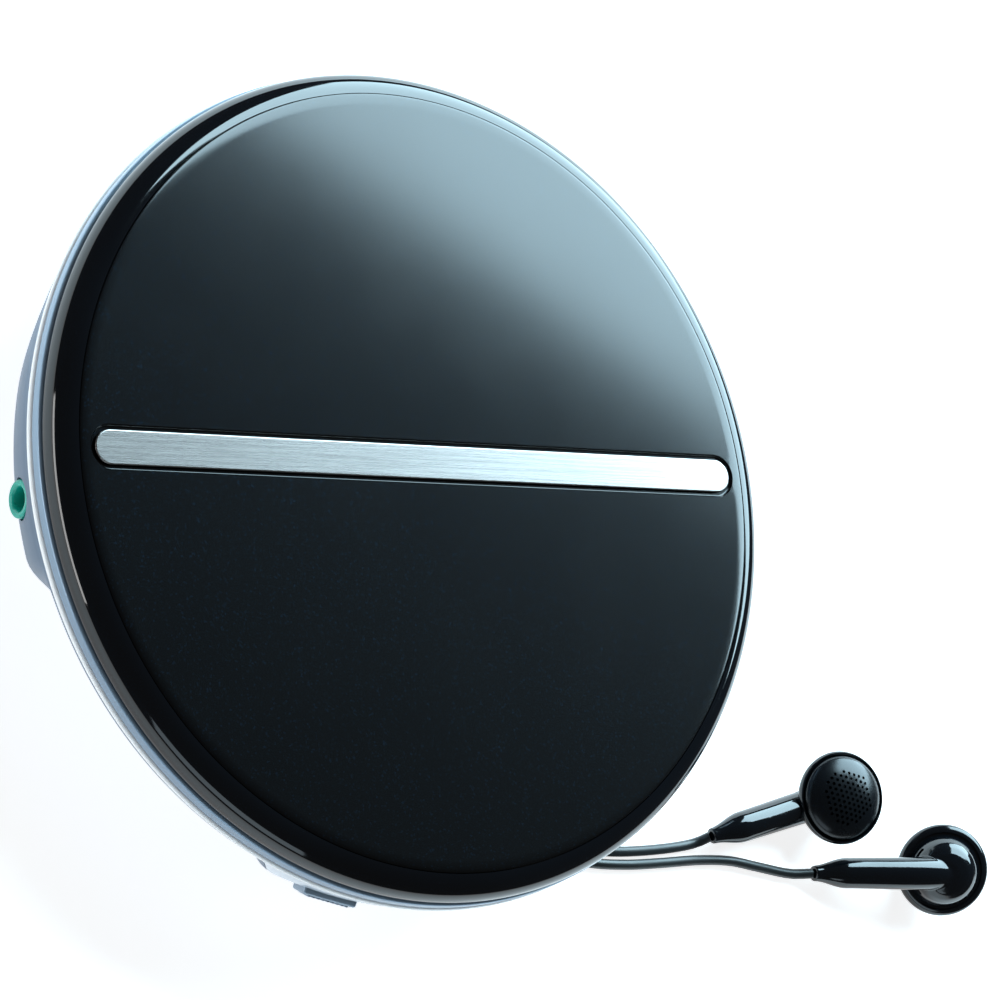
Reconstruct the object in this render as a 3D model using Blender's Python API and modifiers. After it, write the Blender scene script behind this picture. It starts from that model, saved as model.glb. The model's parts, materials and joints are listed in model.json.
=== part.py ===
"""Portable disc player with earphones, as separate parts.

Frame: +Z up, origin on the table under the centre of the player, +Y towards the
lid's hinge, -Y towards the controls, -X towards the headphone jack. Metres.
"""

import math

import bmesh
import bpy
from mathutils import Matrix, Vector

MM = 0.001
GAP = 0.3 * MM
STEPS = 60

# Player: radii and heights that drive the rest.
LID_RADIUS = 69.0 * MM
RING_RADIUS = 69.4 * MM
LID_TOP = 26.0 * MM
LID_EDGE = 21.3 * MM
RING_TOP = 21.0 * MM
BEAD_TOP = 18.7 * MM
BEAD_BOTTOM = 17.4 * MM
BASE_TOP = 17.1 * MM
BASE_BOTTOM = 1.0 * MM
WALL = 1.4 * MM
WELL_RADIUS = 62.0 * MM
DECK_TOP = 18.3 * MM
DECK_BOTTOM = 17.4 * MM
HUB_HOLE_RADIUS = 17.0 * MM
HINGE_Y = 66.9 * MM
HINGE_Z = 21.0 * MM
HINGE_RADIUS = 1.3 * MM
PIN_RADIUS = 0.7 * MM
FACE_RADIUS = 64.6 * MM
STRIP_LENGTH = 124.2 * MM
STRIP_WIDTH = 5.6 * MM
STRIP_Y = 2.5 * MM

# Base wall: (height, radius of the plain bowl, radius on the two bulges).
WALL_CURVE = [
    (17.1 * MM, 69.2 * MM, 69.2 * MM),
    (16.2 * MM, 68.9 * MM, 69.1 * MM),
    (14.6 * MM, 67.6 * MM, 68.9 * MM),
    (11.8 * MM, 65.4 * MM, 68.2 * MM),
    (8.0 * MM, 62.6 * MM, 66.6 * MM),
    (4.0 * MM, 59.6 * MM, 63.8 * MM),
    (1.8 * MM, 57.5 * MM, 61.4 * MM),
    (1.0 * MM, 55.0 * MM, 58.5 * MM),
]
# Bulges: angles where each one starts, is full, is still full, and ends.
BULGES = [(130, 168, 190, 198), (241, 247, 311, 317)]

# Controls on the front bulge: angle and height of each one's centre.
SLIDER_ANGLE = 255.3
SLIDER_HEIGHT = 10.5 * MM
SLIDER_LENGTH = 10.2 * MM
SLIDER_TRAVEL = 2.5 * MM
HOLD_ANGLE = 306.0
HOLD_TRAVEL = 2.4 * MM
BUTTONS = {
    "previous_button": (286.5, 13.0 * MM),
    "play_button": (293.0, 13.0 * MM),
    "next_button": (299.5, 13.0 * MM),
    "volume_down_button": (286.5, 8.3 * MM),
    "stop_button": (293.0, 8.3 * MM),
    "volume_up_button": (299.5, 8.3 * MM),
}

# Inside: cells, mechanism, jacks.
CELL_RADIUS = 7.25 * MM
CELL_LENGTH = 50.5 * MM
CELL_X = (23.2 * MM, 38.0 * MM)
CELL_Y = 1.2 * MM
CELL_Z = 9.8 * MM
BAY = ((15.4 * MM, -27.5 * MM), (45.8 * MM, 27.5 * MM))
DOOR_X = 45.0 * MM
DOOR_Z = 1.5 * MM
SHAFT_Z = 10.0 * MM
RAIL_X = 10.0 * MM
SCREW_X = -12.0 * MM
BEARINGS = [(x, y * MM) for y in (9.5, 53.0) for x in (RAIL_X, SCREW_X)]
LENS_Y = 24.0 * MM
JACK_Y = -3.0 * MM
JACK_Z = 12.0 * MM
POWER_ANGLE = 115.0
FOOT_PLACES = [(34 * MM, 34 * MM), (-34 * MM, 34 * MM), (-34 * MM, -34 * MM), (34 * MM, -34 * MM)]
CASE_SCREWS = [(1 * MM, -45 * MM), (23 * MM, 40.5 * MM)]

# Earphones.
BUD_RADIUS = 8.2 * MM
STEM_LENGTH = 27.0 * MM
STEM_RADIUS = 3.0
CORD_RADIUS = 0.9 * MM
LEFT_HEAD = Vector((94.3, -49.9, 7.6)) * MM
LEFT_NORMAL = (-0.20, -0.12, 0.97)
LEFT_STEM = (-0.958, -0.215, -0.185)
RIGHT_HEAD = Vector((117.4, -62.6, 5.4)) * MM
RIGHT_NORMAL = (0.50, 0.26, -0.83)
RIGHT_STEM = (-0.985, 0.008, -0.122)
HANK_ANGLE = math.radians(14.5)
HANK_RADIUS = 70.6 * MM
HANK_LENGTH = 38.0 * MM
HANK_WIDTH = 11.0 * MM
HANK_HEIGHT = 8.6 * MM

COLLECTION = None
CUTTERS = None


# ---------- helpers ----------

def clear_scene():
    for item in list(bpy.data.objects):
        bpy.data.objects.remove(item, do_unlink=True)


def new_collection(name):
    made = bpy.data.collections.new(name)
    bpy.context.scene.collection.children.link(made)
    return made


def paint(obj, colour, roughness, metallic=0.0):
    """Gives the object its own Principled material."""
    made = bpy.data.materials.new(obj.name)
    made.use_nodes = True
    shader = made.node_tree.nodes["Principled BSDF"]
    shader.inputs["Base Color"].default_value = (*colour, 1.0)
    shader.inputs["Roughness"].default_value = roughness
    shader.inputs["Metallic"].default_value = metallic
    obj.data.materials.clear()
    obj.data.materials.append(made)
    return obj


def object_of(name, bm, cutter=False):
    mesh = bpy.data.meshes.new(name)
    bmesh.ops.recalc_face_normals(bm, faces=bm.faces)
    bm.to_mesh(mesh)
    bm.free()
    return link(bpy.data.objects.new(name, mesh), cutter)


def link(obj, cutter=False):
    (CUTTERS if cutter else COLLECTION).objects.link(obj)
    if cutter:
        obj.hide_render = True
        obj.display_type = "WIRE"
    return obj


def smooth(obj, degrees=35):
    obj.data.shade_smooth()
    obj.data.set_sharp_from_angle(angle=math.radians(degrees))
    return obj


def box(name, low, high, cutter=False, frame=None, bevel=0.0):
    """A box between two corners given in a local frame."""
    bm = bmesh.new()
    bmesh.ops.create_cube(bm, size=1.0)
    low, high = Vector(low), Vector(high)
    bmesh.ops.scale(bm, vec=high - low, verts=bm.verts)
    bmesh.ops.translate(bm, vec=(low + high) / 2, verts=bm.verts)
    if bevel:
        bmesh.ops.bevel(bm, geom=bm.edges[:], offset=bevel, segments=2, profile=0.5, affect="EDGES")
    obj = object_of(name, bm, cutter)
    obj.matrix_world = frame or Matrix.Identity(4)
    return obj


def turned(name, profile, closed=False, steps=STEPS, frame=None, cutter=False):
    """A profile of (radius, height) points, down the outer side, turned about the frame's Z."""
    mesh = bpy.data.meshes.new(name)
    points = [(radius, 0.0, height) for radius, height in profile]
    edges = [(i, i + 1) for i in range(len(points) - 1)]
    if closed:
        edges.append((len(points) - 1, 0))
    mesh.from_pydata(points, edges, [])
    obj = link(bpy.data.objects.new(name, mesh), cutter)
    obj.matrix_world = frame or Matrix.Identity(4)
    screw = obj.modifiers.new("turn", "SCREW")
    screw.steps = steps
    screw.render_steps = steps
    screw.use_merge_vertices = True
    screw.merge_threshold = 0.00001
    screw.use_smooth_shade = True
    return obj


def rod(name, start, end, radius, steps=24, cutter=False):
    """A plain cylinder between two points."""
    start, end = Vector(start), Vector(end)
    length = (end - start).length
    frame = Matrix.Translation(start) @ (end - start).to_track_quat("Z", "Y").to_matrix().to_4x4()
    profile = [(0, length), (radius, length), (radius, 0), (0, 0)]
    return turned(name, profile, steps=steps, frame=frame, cutter=cutter)


def boolean(obj, operation, others):
    for other in others:
        cut = obj.modifiers.new(operation.lower(), "BOOLEAN")
        cut.operation = operation
        cut.object = other
        cut.solver = "EXACT"
    return obj


def cut(obj, *others):
    return boolean(obj, "DIFFERENCE", others)


def join(obj, *others):
    for other in others:
        other.hide_render = True
        other.display_type = "WIRE"
        if other.name in COLLECTION.objects:
            COLLECTION.objects.unlink(other)
        if other.name not in CUTTERS.objects:
            CUTTERS.objects.link(other)
    return boolean(obj, "UNION", others)


def pill(name, length, width, low, high, centre_y, cutter=False):
    """A flat bar with round ends, along X."""
    bm = bmesh.new()
    radius = width / 2
    reach = length / 2 - radius
    ends = []
    for side in (1, -1):
        for step in range(17):
            turn = math.radians(-90 + 180 * step / 16)
            across = centre_y + side * radius * math.sin(turn)
            ends.append((side * (reach + radius * math.cos(turn)), across, low))
    face = bm.faces.new([bm.verts.new(point) for point in ends])
    grown = bmesh.ops.extrude_face_region(bm, geom=[face])
    top = [item for item in grown["geom"] if isinstance(item, bmesh.types.BMVert)]
    bmesh.ops.translate(bm, vec=(0, 0, high - low), verts=top)
    return object_of(name, bm, cutter)


def ease(value):
    value = min(max(value, 0.0), 1.0)
    return value * value * (3 - 2 * value)


def bulge_share(degrees):
    """How much of the bulge the wall has at an angle, from 0 to 1."""
    degrees = degrees % 360
    share = 0.0
    for start, full, still, end in BULGES:
        rise = ease((degrees - start) / (full - start))
        fall = 1 - ease((degrees - still) / (end - still))
        share = max(share, min(rise, fall))
    return share


def wall_radius(degrees, height):
    """Outer radius of the base wall."""
    share = bulge_share(degrees)
    for upper, lower in zip(WALL_CURVE, WALL_CURVE[1:]):
        if height >= lower[0]:
            break
    mix = (height - lower[0]) / (upper[0] - lower[0])
    bowl = lower[1] + mix * (upper[1] - lower[1])
    full = lower[2] + mix * (upper[2] - lower[2])
    return bowl + share * (full - bowl)


def wall_frame(degrees, height):
    """Frame on the outer wall: X along the wall, Y up it, Z outwards."""
    turn = math.radians(degrees)
    out = Vector((math.cos(turn), math.sin(turn), 0))
    along = Vector((-math.sin(turn), math.cos(turn), 0))
    step = 0.5 * MM
    slope = (wall_radius(degrees, height + step) - wall_radius(degrees, height - step)) / (2 * step)
    up = (out * slope + Vector((0, 0, 1))).normalized()
    normal = along.cross(up)
    frame = Matrix((along, up, normal)).transposed().to_4x4()
    frame.translation = out * wall_radius(degrees, height) + Vector((0, 0, height))
    return frame


def bowl_solid(name):
    """The base's wall and floor, lofted because its sections change with the angle."""
    steps = 80
    inside = [WALL_CURVE[i] for i in (0, 2, 4, 5)]
    inner = [(height, bowl - WALL, full - WALL) for height, bowl, full in inside]
    inner.append((BASE_BOTTOM + 1.2 * MM, WALL_CURVE[-1][1] - WALL, WALL_CURVE[-1][2] - WALL))
    section = list(WALL_CURVE) + list(reversed(inner))
    floor = len(WALL_CURVE) - 1
    bm = bmesh.new()
    rings = []
    for step in range(steps):
        turn = 2 * math.pi * step / steps
        share = bulge_share(math.degrees(turn))
        ring = []
        for height, bowl, full in section:
            radius = bowl + share * (full - bowl)
            ring.append(bm.verts.new((radius * math.cos(turn), radius * math.sin(turn), height)))
        rings.append(ring)
    for ring, after in zip(rings, rings[1:] + rings[:1]):
        for i in range(len(section)):
            j = (i + 1) % len(section)
            if i != floor:
                bm.faces.new((ring[i], ring[j], after[j], after[i]))
    bm.faces.new([ring[floor] for ring in rings])
    bm.faces.new([ring[floor + 1] for ring in rings])
    return object_of(name, bm)


def sector(name, start, end, low, top, cutter=True, radii=(50 * MM, 75 * MM)):
    """A wedge ring between two angles. low gives the lower edge's height at an angle."""
    bm = bmesh.new()
    count = max(2, round((end - start) / 2))
    before = None
    for step in range(count + 1):
        degrees = start + (end - start) * step / count
        turn = math.radians(degrees)
        corners = [(radii[0], low(degrees)), (radii[1], low(degrees)), (radii[1], top), (radii[0], top)]
        ring = [bm.verts.new((r * math.cos(turn), r * math.sin(turn), z)) for r, z in corners]
        if before:
            for i in range(4):
                bm.faces.new((before[i], before[(i + 1) % 4], ring[(i + 1) % 4], ring[i]))
        else:
            bm.faces.new(ring)
        before = ring
    bm.faces.new(list(reversed(before)))
    return object_of(name, bm, cutter)


def smooth_path(points, spacing):
    """Points along a Catmull-Rom curve through the given ones, evenly spaced."""
    points = [Vector(point) for point in points]
    padded = [2 * points[0] - points[1]] + points + [2 * points[-1] - points[-2]]
    fine = []
    for a, b, c, d in zip(padded, padded[1:], padded[2:], padded[3:]):
        for step in range(16):
            t = step / 16
            fine.append(
                0.5 * (2 * b + (c - a) * t + (2 * a - 5 * b + 4 * c - d) * t * t
                       + (3 * b - a - 3 * c + d) * t ** 3)
            )
    fine.append(points[-1])
    length = sum((b - a).length for a, b in zip(fine, fine[1:]))
    count = max(2, round(length / spacing))
    kept, run, wanted = [fine[0]], 0.0, length / count
    for a, b in zip(fine, fine[1:]):
        run += (b - a).length
        if run >= wanted * len(kept) and len(kept) < count:
            kept.append(b)
    return kept + [fine[-1]]


def tube(name, points, radius, taper=None, resolution=2):
    """A POLY curve with a round section and filled caps, as an object of its own."""
    curve = bpy.data.curves.new(name, "CURVE")
    curve.dimensions = "3D"
    curve.bevel_depth = radius
    curve.bevel_resolution = resolution
    curve.use_fill_caps = True
    curve.resolution_u = 1
    curve.render_resolution_u = 0
    spline = curve.splines.new("POLY")
    spline.points.add(len(points) - 1)
    for i, point in enumerate(points):
        spline.points[i].co = (*point, 1.0)
        spline.points[i].radius = taper[i] if taper else 1.0
    return link(bpy.data.objects.new(name, curve))


def as_mesh(obj):
    """The curve object made a mesh, with its caps welded."""
    bpy.context.view_layer.update()
    ready = obj.evaluated_get(bpy.context.evaluated_depsgraph_get())
    mesh = bpy.data.meshes.new_from_object(ready)
    made = bpy.data.objects.new(obj.name + "_mesh", mesh)
    bm = bmesh.new()
    bm.from_mesh(mesh)
    bmesh.ops.remove_doubles(bm, verts=bm.verts, dist=0.000001)
    bmesh.ops.recalc_face_normals(bm, faces=bm.faces)
    bm.to_mesh(mesh)
    bm.free()
    made.matrix_world = obj.matrix_world
    name = obj.name
    bpy.data.objects.remove(obj)
    made.name = name
    return link(made)


def along_y(x, y, z):
    """Frame whose Z runs along +Y."""
    return Matrix.Translation((x, y, z)) @ Matrix.Rotation(math.radians(-90), 4, "X")


# ---------- casing ----------

def fascia_low(grow):
    """Lower edge of the front fascia: an S at each end, level between."""
    level = 5.4 * MM

    def low(degrees):
        share = min(ease((degrees - 239) / 12), ease((319 - degrees) / 12))
        return BASE_TOP - 0.6 * MM + share * (level - BASE_TOP + 0.6 * MM) - grow

    return low


def base_and_fascia():
    base = bowl_solid("base_shell")
    fascia = bowl_solid("front_fascia")
    wide = math.degrees(GAP / RING_RADIUS)
    boolean(fascia, "INTERSECT", [sector("fascia_keep", 239, 319, fascia_low(0), 20 * MM)])
    cut(base, sector("fascia_hole", 239 - wide, 319 + wide, fascia_low(GAP), 20 * MM))
    bay_low, bay_high = BAY
    wall = 1.1 * MM
    bay = box("bay_wall", (bay_low[0] - wall, bay_low[1] - wall, BASE_BOTTOM + 0.5 * MM),
              (bay_high[0] + wall, bay_high[1] + wall, 16.8 * MM))
    posts = []
    for i, (x, y) in enumerate(CASE_SCREWS):
        posts.append(rod(f"case_post_{i}", (x, y, 2 * MM), (x, y, 9.7 * MM), 3.6 * MM))
    for i, y in enumerate((-20 * MM, 20 * MM)):
        posts.append(rod(f"board_post_{i}", (-30 * MM, y, 2 * MM), (-30 * MM, y, 3.1 * MM), 2.5 * MM))
    join(base, bay, *posts)
    cut(base, box("bay_hole", (*bay_low, 0), (*bay_high, 20 * MM), cutter=True))
    for i, (x, y) in enumerate(FOOT_PLACES):
        cut(base, rod(f"foot_seat_{i}", (x, y, 0), (x, y, 1.5 * MM), 4.8 * MM, cutter=True))
    for i, (x, y) in enumerate(CASE_SCREWS):
        cut(base, rod(f"screw_sink_{i}", (x, y, 0), (x, y, 3.1 * MM), 2.5 * MM, 22, cutter=True))
        cut(base, rod(f"screw_way_{i}", (x, y, 2 * MM), (x, y, 12 * MM), 1.4 * MM, 18, cutter=True))
    cut(base, rod("jack_way", (-60 * MM, JACK_Y, JACK_Z), (-75 * MM, JACK_Y, JACK_Z), 3.4 * MM, cutter=True))
    turn = math.radians(POWER_ANGLE)
    out = Vector((math.cos(turn), math.sin(turn), 0))
    height = Vector((0, 0, 9 * MM))
    cut(base, rod("power_way", out * 55 * MM + height, out * 75 * MM + height, 2.6 * MM, cutter=True))
    paint(smooth(base), (0.36, 0.42, 0.48), 0.38, 0.2)
    paint(smooth(fascia), (0.72, 0.78, 0.83), 0.3, 0.3)
    return base, fascia


def trim_bead():
    outer, inner = 69.7 * MM, 67.6 * MM
    middle = (BEAD_TOP + BEAD_BOTTOM) / 2
    profile = [(inner, BEAD_TOP), (outer - 0.5 * MM, BEAD_TOP), (outer, middle + 0.3 * MM),
               (outer, middle - 0.3 * MM), (outer - 0.5 * MM, BEAD_BOTTOM), (inner, BEAD_BOTTOM)]
    paint(turned("trim_bead", profile, closed=True), (0.93, 0.95, 0.96), 0.2)


def knuckle(name, start, end):
    """A hinge knuckle along X with its pin's bore."""
    bore = PIN_RADIUS + 0.17 * MM
    profile = [(bore, end), (HINGE_RADIUS, end), (HINGE_RADIUS, start), (bore, start)]
    frame = Matrix.Translation((0, HINGE_Y, HINGE_Z)) @ Matrix.Rotation(math.radians(90), 4, "Y")
    return turned(name, profile, closed=True, steps=20, frame=frame)


def mid_housing():
    spigot = 67.0 * MM
    foot = 16.6 * MM
    wall = 1.2 * MM
    profile = [
        (RING_RADIUS - 0.6 * MM, RING_TOP), (RING_RADIUS, RING_TOP - 0.6 * MM), (RING_RADIUS, 19.0 * MM),
        (spigot, 19.0 * MM), (spigot, foot), (spigot - wall, foot), (spigot - wall, 19.8 * MM),
        (WELL_RADIUS + wall, 19.8 * MM), (WELL_RADIUS + wall, DECK_BOTTOM), (HUB_HOLE_RADIUS, DECK_BOTTOM),
        (HUB_HOLE_RADIUS, DECK_TOP), (WELL_RADIUS, DECK_TOP), (WELL_RADIUS, RING_TOP - 0.4 * MM),
        (WELL_RADIUS + 0.4 * MM, RING_TOP),
    ]
    housing = turned("mid_housing", profile, closed=True)
    cut(housing, box("lens_way", (-8 * MM, 8 * MM, 15 * MM), (8 * MM, 60 * MM, 20 * MM), cutter=True))
    cut(housing, box("hinge_notch", (-18.5 * MM, 65.3 * MM, 18.85 * MM), (18.5 * MM, 75 * MM, 25 * MM),
                     cutter=True))
    slider_turn = math.radians(SLIDER_ANGLE)
    slot_frame = Matrix.Rotation(slider_turn, 4, "Z")
    cut(housing, box("latch_way", (63.6 * MM, -2.5 * MM, 19 * MM), (65.9 * MM, 2.5 * MM, 22 * MM),
                     cutter=True, frame=slot_frame))
    for side in (-1, 1):
        inner, outer = sorted((side * 5.3 * MM, side * 9.3 * MM))
        leg = box(f"ear_leg_{side}", (inner, 65.4 * MM, 18.0 * MM), (outer, 66.6 * MM, HINGE_Z - 0.95 * MM))
        join(housing, leg, knuckle(f"ear_{side}", inner, outer))
    for i, (x, y) in enumerate(CASE_SCREWS):
        join(housing, rod(f"mid_post_{i}", (x, y, 10 * MM), (x, y, 18 * MM), 3.2 * MM))
        cut(housing, rod(f"mid_post_way_{i}", (x, y, 9 * MM), (x, y, 15 * MM), 1.4 * MM, cutter=True))
    x, y = plunger_place()
    cut(housing, rod("plunger_way", (x, y, 19 * MM), (x, y, 22 * MM), 1.15 * MM, cutter=True))
    paint(smooth(housing), (0.50, 0.58, 0.66), 0.32, 0.5)


def feet_and_screws():
    for i, (x, y) in enumerate(FOOT_PLACES):
        profile = [(0, 1.2 * MM), (4.5 * MM, 1.2 * MM), (4.5 * MM, 0.3 * MM), (4.2 * MM, 0), (0, 0)]
        foot = turned(f"foot_{i + 1}", profile, steps=24, frame=Matrix.Translation((x, y, 0)))
        paint(foot, (0.05, 0.05, 0.055), 0.8)
    for i, (x, y) in enumerate(CASE_SCREWS):
        profile = [(0, 14 * MM), (1.1 * MM, 14 * MM), (1.1 * MM, 2.8 * MM), (2.1 * MM, 2.8 * MM),
                   (2.1 * MM, 1.5 * MM), (0, 1.5 * MM)]
        screw = turned(f"case_screw_{i + 1}", profile, steps=16, frame=Matrix.Translation((x, y, 0)))
        paint(screw, (0.55, 0.56, 0.58), 0.3, 1.0)


def plunger_place():
    turn = math.radians(215)
    return 64.5 * MM * math.cos(turn), 64.5 * MM * math.sin(turn)


# ---------- battery bay ----------

def battery_parts():
    bay_low, bay_high = BAY
    edge = GAP
    door_frame = Matrix.Translation((DOOR_X, 0, DOOR_Z))
    door_end = bay_high[0] - edge - DOOR_X
    door = box("battery_door", (-door_end - 29.0 * MM, bay_low[1] + edge, -0.5 * MM),
               (door_end, bay_high[1] - edge, 0.5 * MM), frame=door_frame)
    for i in range(3):
        x = -26.5 * MM + i * 1.6 * MM
        cut(door, box(f"door_grip_{i}", (x, -6 * MM, -1 * MM), (x + 0.7 * MM, 6 * MM, -0.2 * MM), cutter=True,
                      frame=door_frame))
    paint(door, (0.34, 0.40, 0.46), 0.45)
    for i, (x, flip) in enumerate(zip(CELL_X, (1, -1))):
        half = CELL_LENGTH / 2
        profile = [(0, half), (2.6 * MM, half), (2.6 * MM, half - 1 * MM), (6.8 * MM, half - 1 * MM),
                   (CELL_RADIUS, half - 1.5 * MM), (CELL_RADIUS, 0.4 * MM - half),
                   (6.8 * MM, -half), (0, -half)]
        frame = along_y(x, CELL_Y, CELL_Z)
        if flip < 0:
            frame = frame @ Matrix.Rotation(math.pi, 4, "X")
        cell = turned(f"cell_{i + 1}", profile, steps=24, frame=frame)
        paint(cell, (0.09, 0.10, 0.11) if flip > 0 else (0.10, 0.11, 0.12), 0.35, 0.4)
    near_end = CELL_Y - CELL_LENGTH / 2 - GAP
    wall_side = bay_low[1] + GAP
    turns, per_turn = 3, 12
    coil = []
    for step in range(turns * per_turn + 1):
        share = step / (turns * per_turn)
        turn = 2 * math.pi * turns * share
        radius = (4.0 - 1.6 * share) * MM
        along = wall_side + 0.35 * MM + share * (near_end - wall_side - 0.7 * MM)
        coil.append((CELL_X[0] + radius * math.cos(turn), along, CELL_Z + radius * math.sin(turn)))
    spring = as_mesh(tube("contact_spring", coil, 0.32 * MM, resolution=1))
    paint(spring, (0.75, 0.74, 0.70), 0.25, 1.0)
    plate = box("contact_plate", (33 * MM, wall_side, 5 * MM), (43 * MM, wall_side + 0.4 * MM, 15 * MM))
    boss = box("contact_boss", (35.5 * MM, wall_side + 0.2 * MM, 7.3 * MM),
               (40.5 * MM, near_end, 12.3 * MM))
    paint(join(plate, boss), (0.75, 0.74, 0.70), 0.25, 1.0)
    far_end = CELL_Y + CELL_LENGTH / 2 + GAP
    bridge = box("contact_bridge", (17 * MM, far_end, 6 * MM), (44 * MM, far_end + 0.4 * MM, 14 * MM))
    paint(bridge, (0.75, 0.74, 0.70), 0.25, 1.0)


# ---------- lid ----------

def lid_parts():
    arc = []
    for step in range(5):
        turn = math.radians(90 * step / 4)
        arc.append((FACE_RADIUS + GAP + (LID_RADIUS - FACE_RADIUS - GAP) * math.sin(turn),
                    22.0 * MM + 3.8 * MM * math.cos(turn)))
    profile = [(0, 24.6 * MM), (FACE_RADIUS + GAP, 24.6 * MM), *arc, (LID_RADIUS, 21.6 * MM),
               (LID_RADIUS - 0.3 * MM, LID_EDGE), (67.0 * MM, LID_EDGE), (66.8 * MM, 21.6 * MM),
               (66.8 * MM, 23.4 * MM), (66.5 * MM, 23.7 * MM), (0, 23.7 * MM)]
    shell = turned("lid_shell", profile)
    for side in (-1, 1):
        ends = sorted((side * 4.95 * MM, side * 9.65 * MM))
        cut(shell, rod(f"ear_room_{side}", (ends[0], HINGE_Y, HINGE_Z), (ends[1], HINGE_Y, HINGE_Z),
                       HINGE_RADIUS + 0.4 * MM, cutter=True))
    cut(shell, rod("pin_room", (-5.2 * MM, HINGE_Y, HINGE_Z), (5.2 * MM, HINGE_Y, HINGE_Z), 1.05 * MM, 14,
                   cutter=True))
    join(shell, knuckle("lid_knuckle", -4.9 * MM, 4.9 * MM))
    paint(smooth(shell), (0.006, 0.008, 0.011), 0.08)

    profile = [(0, LID_TOP), (FACE_RADIUS - 0.4 * MM, LID_TOP), (FACE_RADIUS, 25.6 * MM),
               (FACE_RADIUS, 24.9 * MM), (0, 24.9 * MM)]
    face = turned("lid_face_plate", profile)
    groove = 0.7 * MM
    cut(face, pill("strip_seat", STRIP_LENGTH + 2 * groove, STRIP_WIDTH + 2 * groove, 25.35 * MM, 28 * MM,
                   STRIP_Y, cutter=True))
    paint(smooth(face), (0.010, 0.014, 0.020), 0.22)

    strip = pill("trim_strip", STRIP_LENGTH, STRIP_WIDTH, 25.65 * MM, 26.05 * MM, STRIP_Y)
    paint(strip, (0.70, 0.74, 0.78), 0.3, 1.0)

    profile = [(HUB_HOLE_RADIUS, 23.4 * MM), (66.3 * MM, 23.4 * MM), (66.3 * MM, 22.9 * MM),
               (HUB_HOLE_RADIUS, 22.9 * MM)]
    cover = turned("lid_inner_cover", profile, closed=True)
    hook = box("latch_hook", (64.1 * MM, -2 * MM, 14.2 * MM), (65.4 * MM, 2 * MM, 23.2 * MM),
               frame=Matrix.Rotation(math.radians(SLIDER_ANGLE), 4, "Z"))
    paint(join(cover, hook), (0.03, 0.035, 0.04), 0.5)

    pin_end = 9.1 * MM
    pin = rod("hinge_pin", (-pin_end, HINGE_Y, HINGE_Z), (pin_end, HINGE_Y, HINGE_Z), PIN_RADIUS, steps=16)
    paint(pin, (0.6, 0.6, 0.62), 0.25, 1.0)


# ---------- controls ----------

def control(name, degrees, height, size, proud, fascia, travel=0.0, flange=(0.7, 0.7)):
    """A cap that stands out of the wall, held by a flange behind it, and the hole for it."""
    frame = wall_frame(degrees, height)
    width, tall = size
    cap = box(name, (-width / 2, -tall / 2, -2.2 * MM), (width / 2, tall / 2, proud), frame=frame,
              bevel=0.35 * MM)
    wide = width / 2 + flange[0] * MM
    high = tall / 2 + flange[1] * MM
    plate = box(name + "_flange", (-wide, -high, -2.9 * MM), (wide, high, -2.05 * MM), frame=frame)
    join(cap, plate)
    room = 0.35 * MM
    cut(fascia, box(name + "_hole", (-width / 2 - room, -tall / 2 - room, -4 * MM),
                    (width / 2 + travel + room, tall / 2 + room, 4 * MM), cutter=True, frame=frame))
    return cap


def controls(fascia):
    for name, (degrees, height) in BUTTONS.items():
        cap = control(name, degrees, height, (6.0 * MM, 3.0 * MM), 0.8 * MM, fascia, flange=(0.6, 0.4))
        paint(smooth(cap), (0.55, 0.62, 0.68), 0.35, 0.3)

    slider = control("open_slider", SLIDER_ANGLE, SLIDER_HEIGHT, (SLIDER_LENGTH, 4.2 * MM), 0.9 * MM, fascia,
                     travel=SLIDER_TRAVEL, flange=(0.6, 0.5))
    frame = Matrix.Rotation(math.radians(SLIDER_ANGLE), 4, "Z")
    arm = box("slider_arm", (63.9 * MM, 2.5 * MM, 10 * MM), (65.3 * MM, 4.3 * MM, 16.8 * MM), frame=frame)
    paint(smooth(join(slider, arm)), (0.50, 0.57, 0.64), 0.4, 0.2)

    hold = control("hold_switch", HOLD_ANGLE, 10.5 * MM, (4.0 * MM, 2.6 * MM), 0.8 * MM, fascia,
                   travel=HOLD_TRAVEL, flange=(0.6, 0.5))
    paint(smooth(hold), (0.12, 0.13, 0.14), 0.4)


def display(fascia):
    window = bowl_solid("lcd_window")
    wide = math.degrees(GAP / RING_RADIUS)
    low, top = 7.4 * MM, 14.8 * MM
    boolean(window, "INTERSECT", [sector("window_keep", 265, 282, lambda _: low, top)])
    cut(fascia, sector("window_hole", 265 - wide, 282 + wide, lambda _: low - GAP, top + GAP))
    paint(smooth(window), (0.02, 0.025, 0.03), 0.1)
    frame = Matrix.Rotation(math.radians(273.5), 4, "Z")
    module = box("lcd_module", (60.6 * MM, -9 * MM, 8 * MM), (63.6 * MM, 9 * MM, 14.4 * MM), frame=frame)
    paint(module, (0.45, 0.50, 0.42), 0.3)


def lid_switch():
    x, y = plunger_place()
    profile = [(0, 22.5 * MM), (0.5 * MM, 22.5 * MM), (0.7 * MM, 22.3 * MM), (0.7 * MM, 19.3 * MM),
               (1.05 * MM, 19.3 * MM), (1.05 * MM, 18.3 * MM), (0.7 * MM, 18.3 * MM), (0.7 * MM, 14.5 * MM),
               (0, 14.5 * MM)]
    plunger = turned("lid_switch_plunger", profile, steps=16, frame=Matrix.Translation((x, y, 0)))
    paint(plunger, (0.75, 0.76, 0.76), 0.5)


# ---------- sockets ----------

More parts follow.
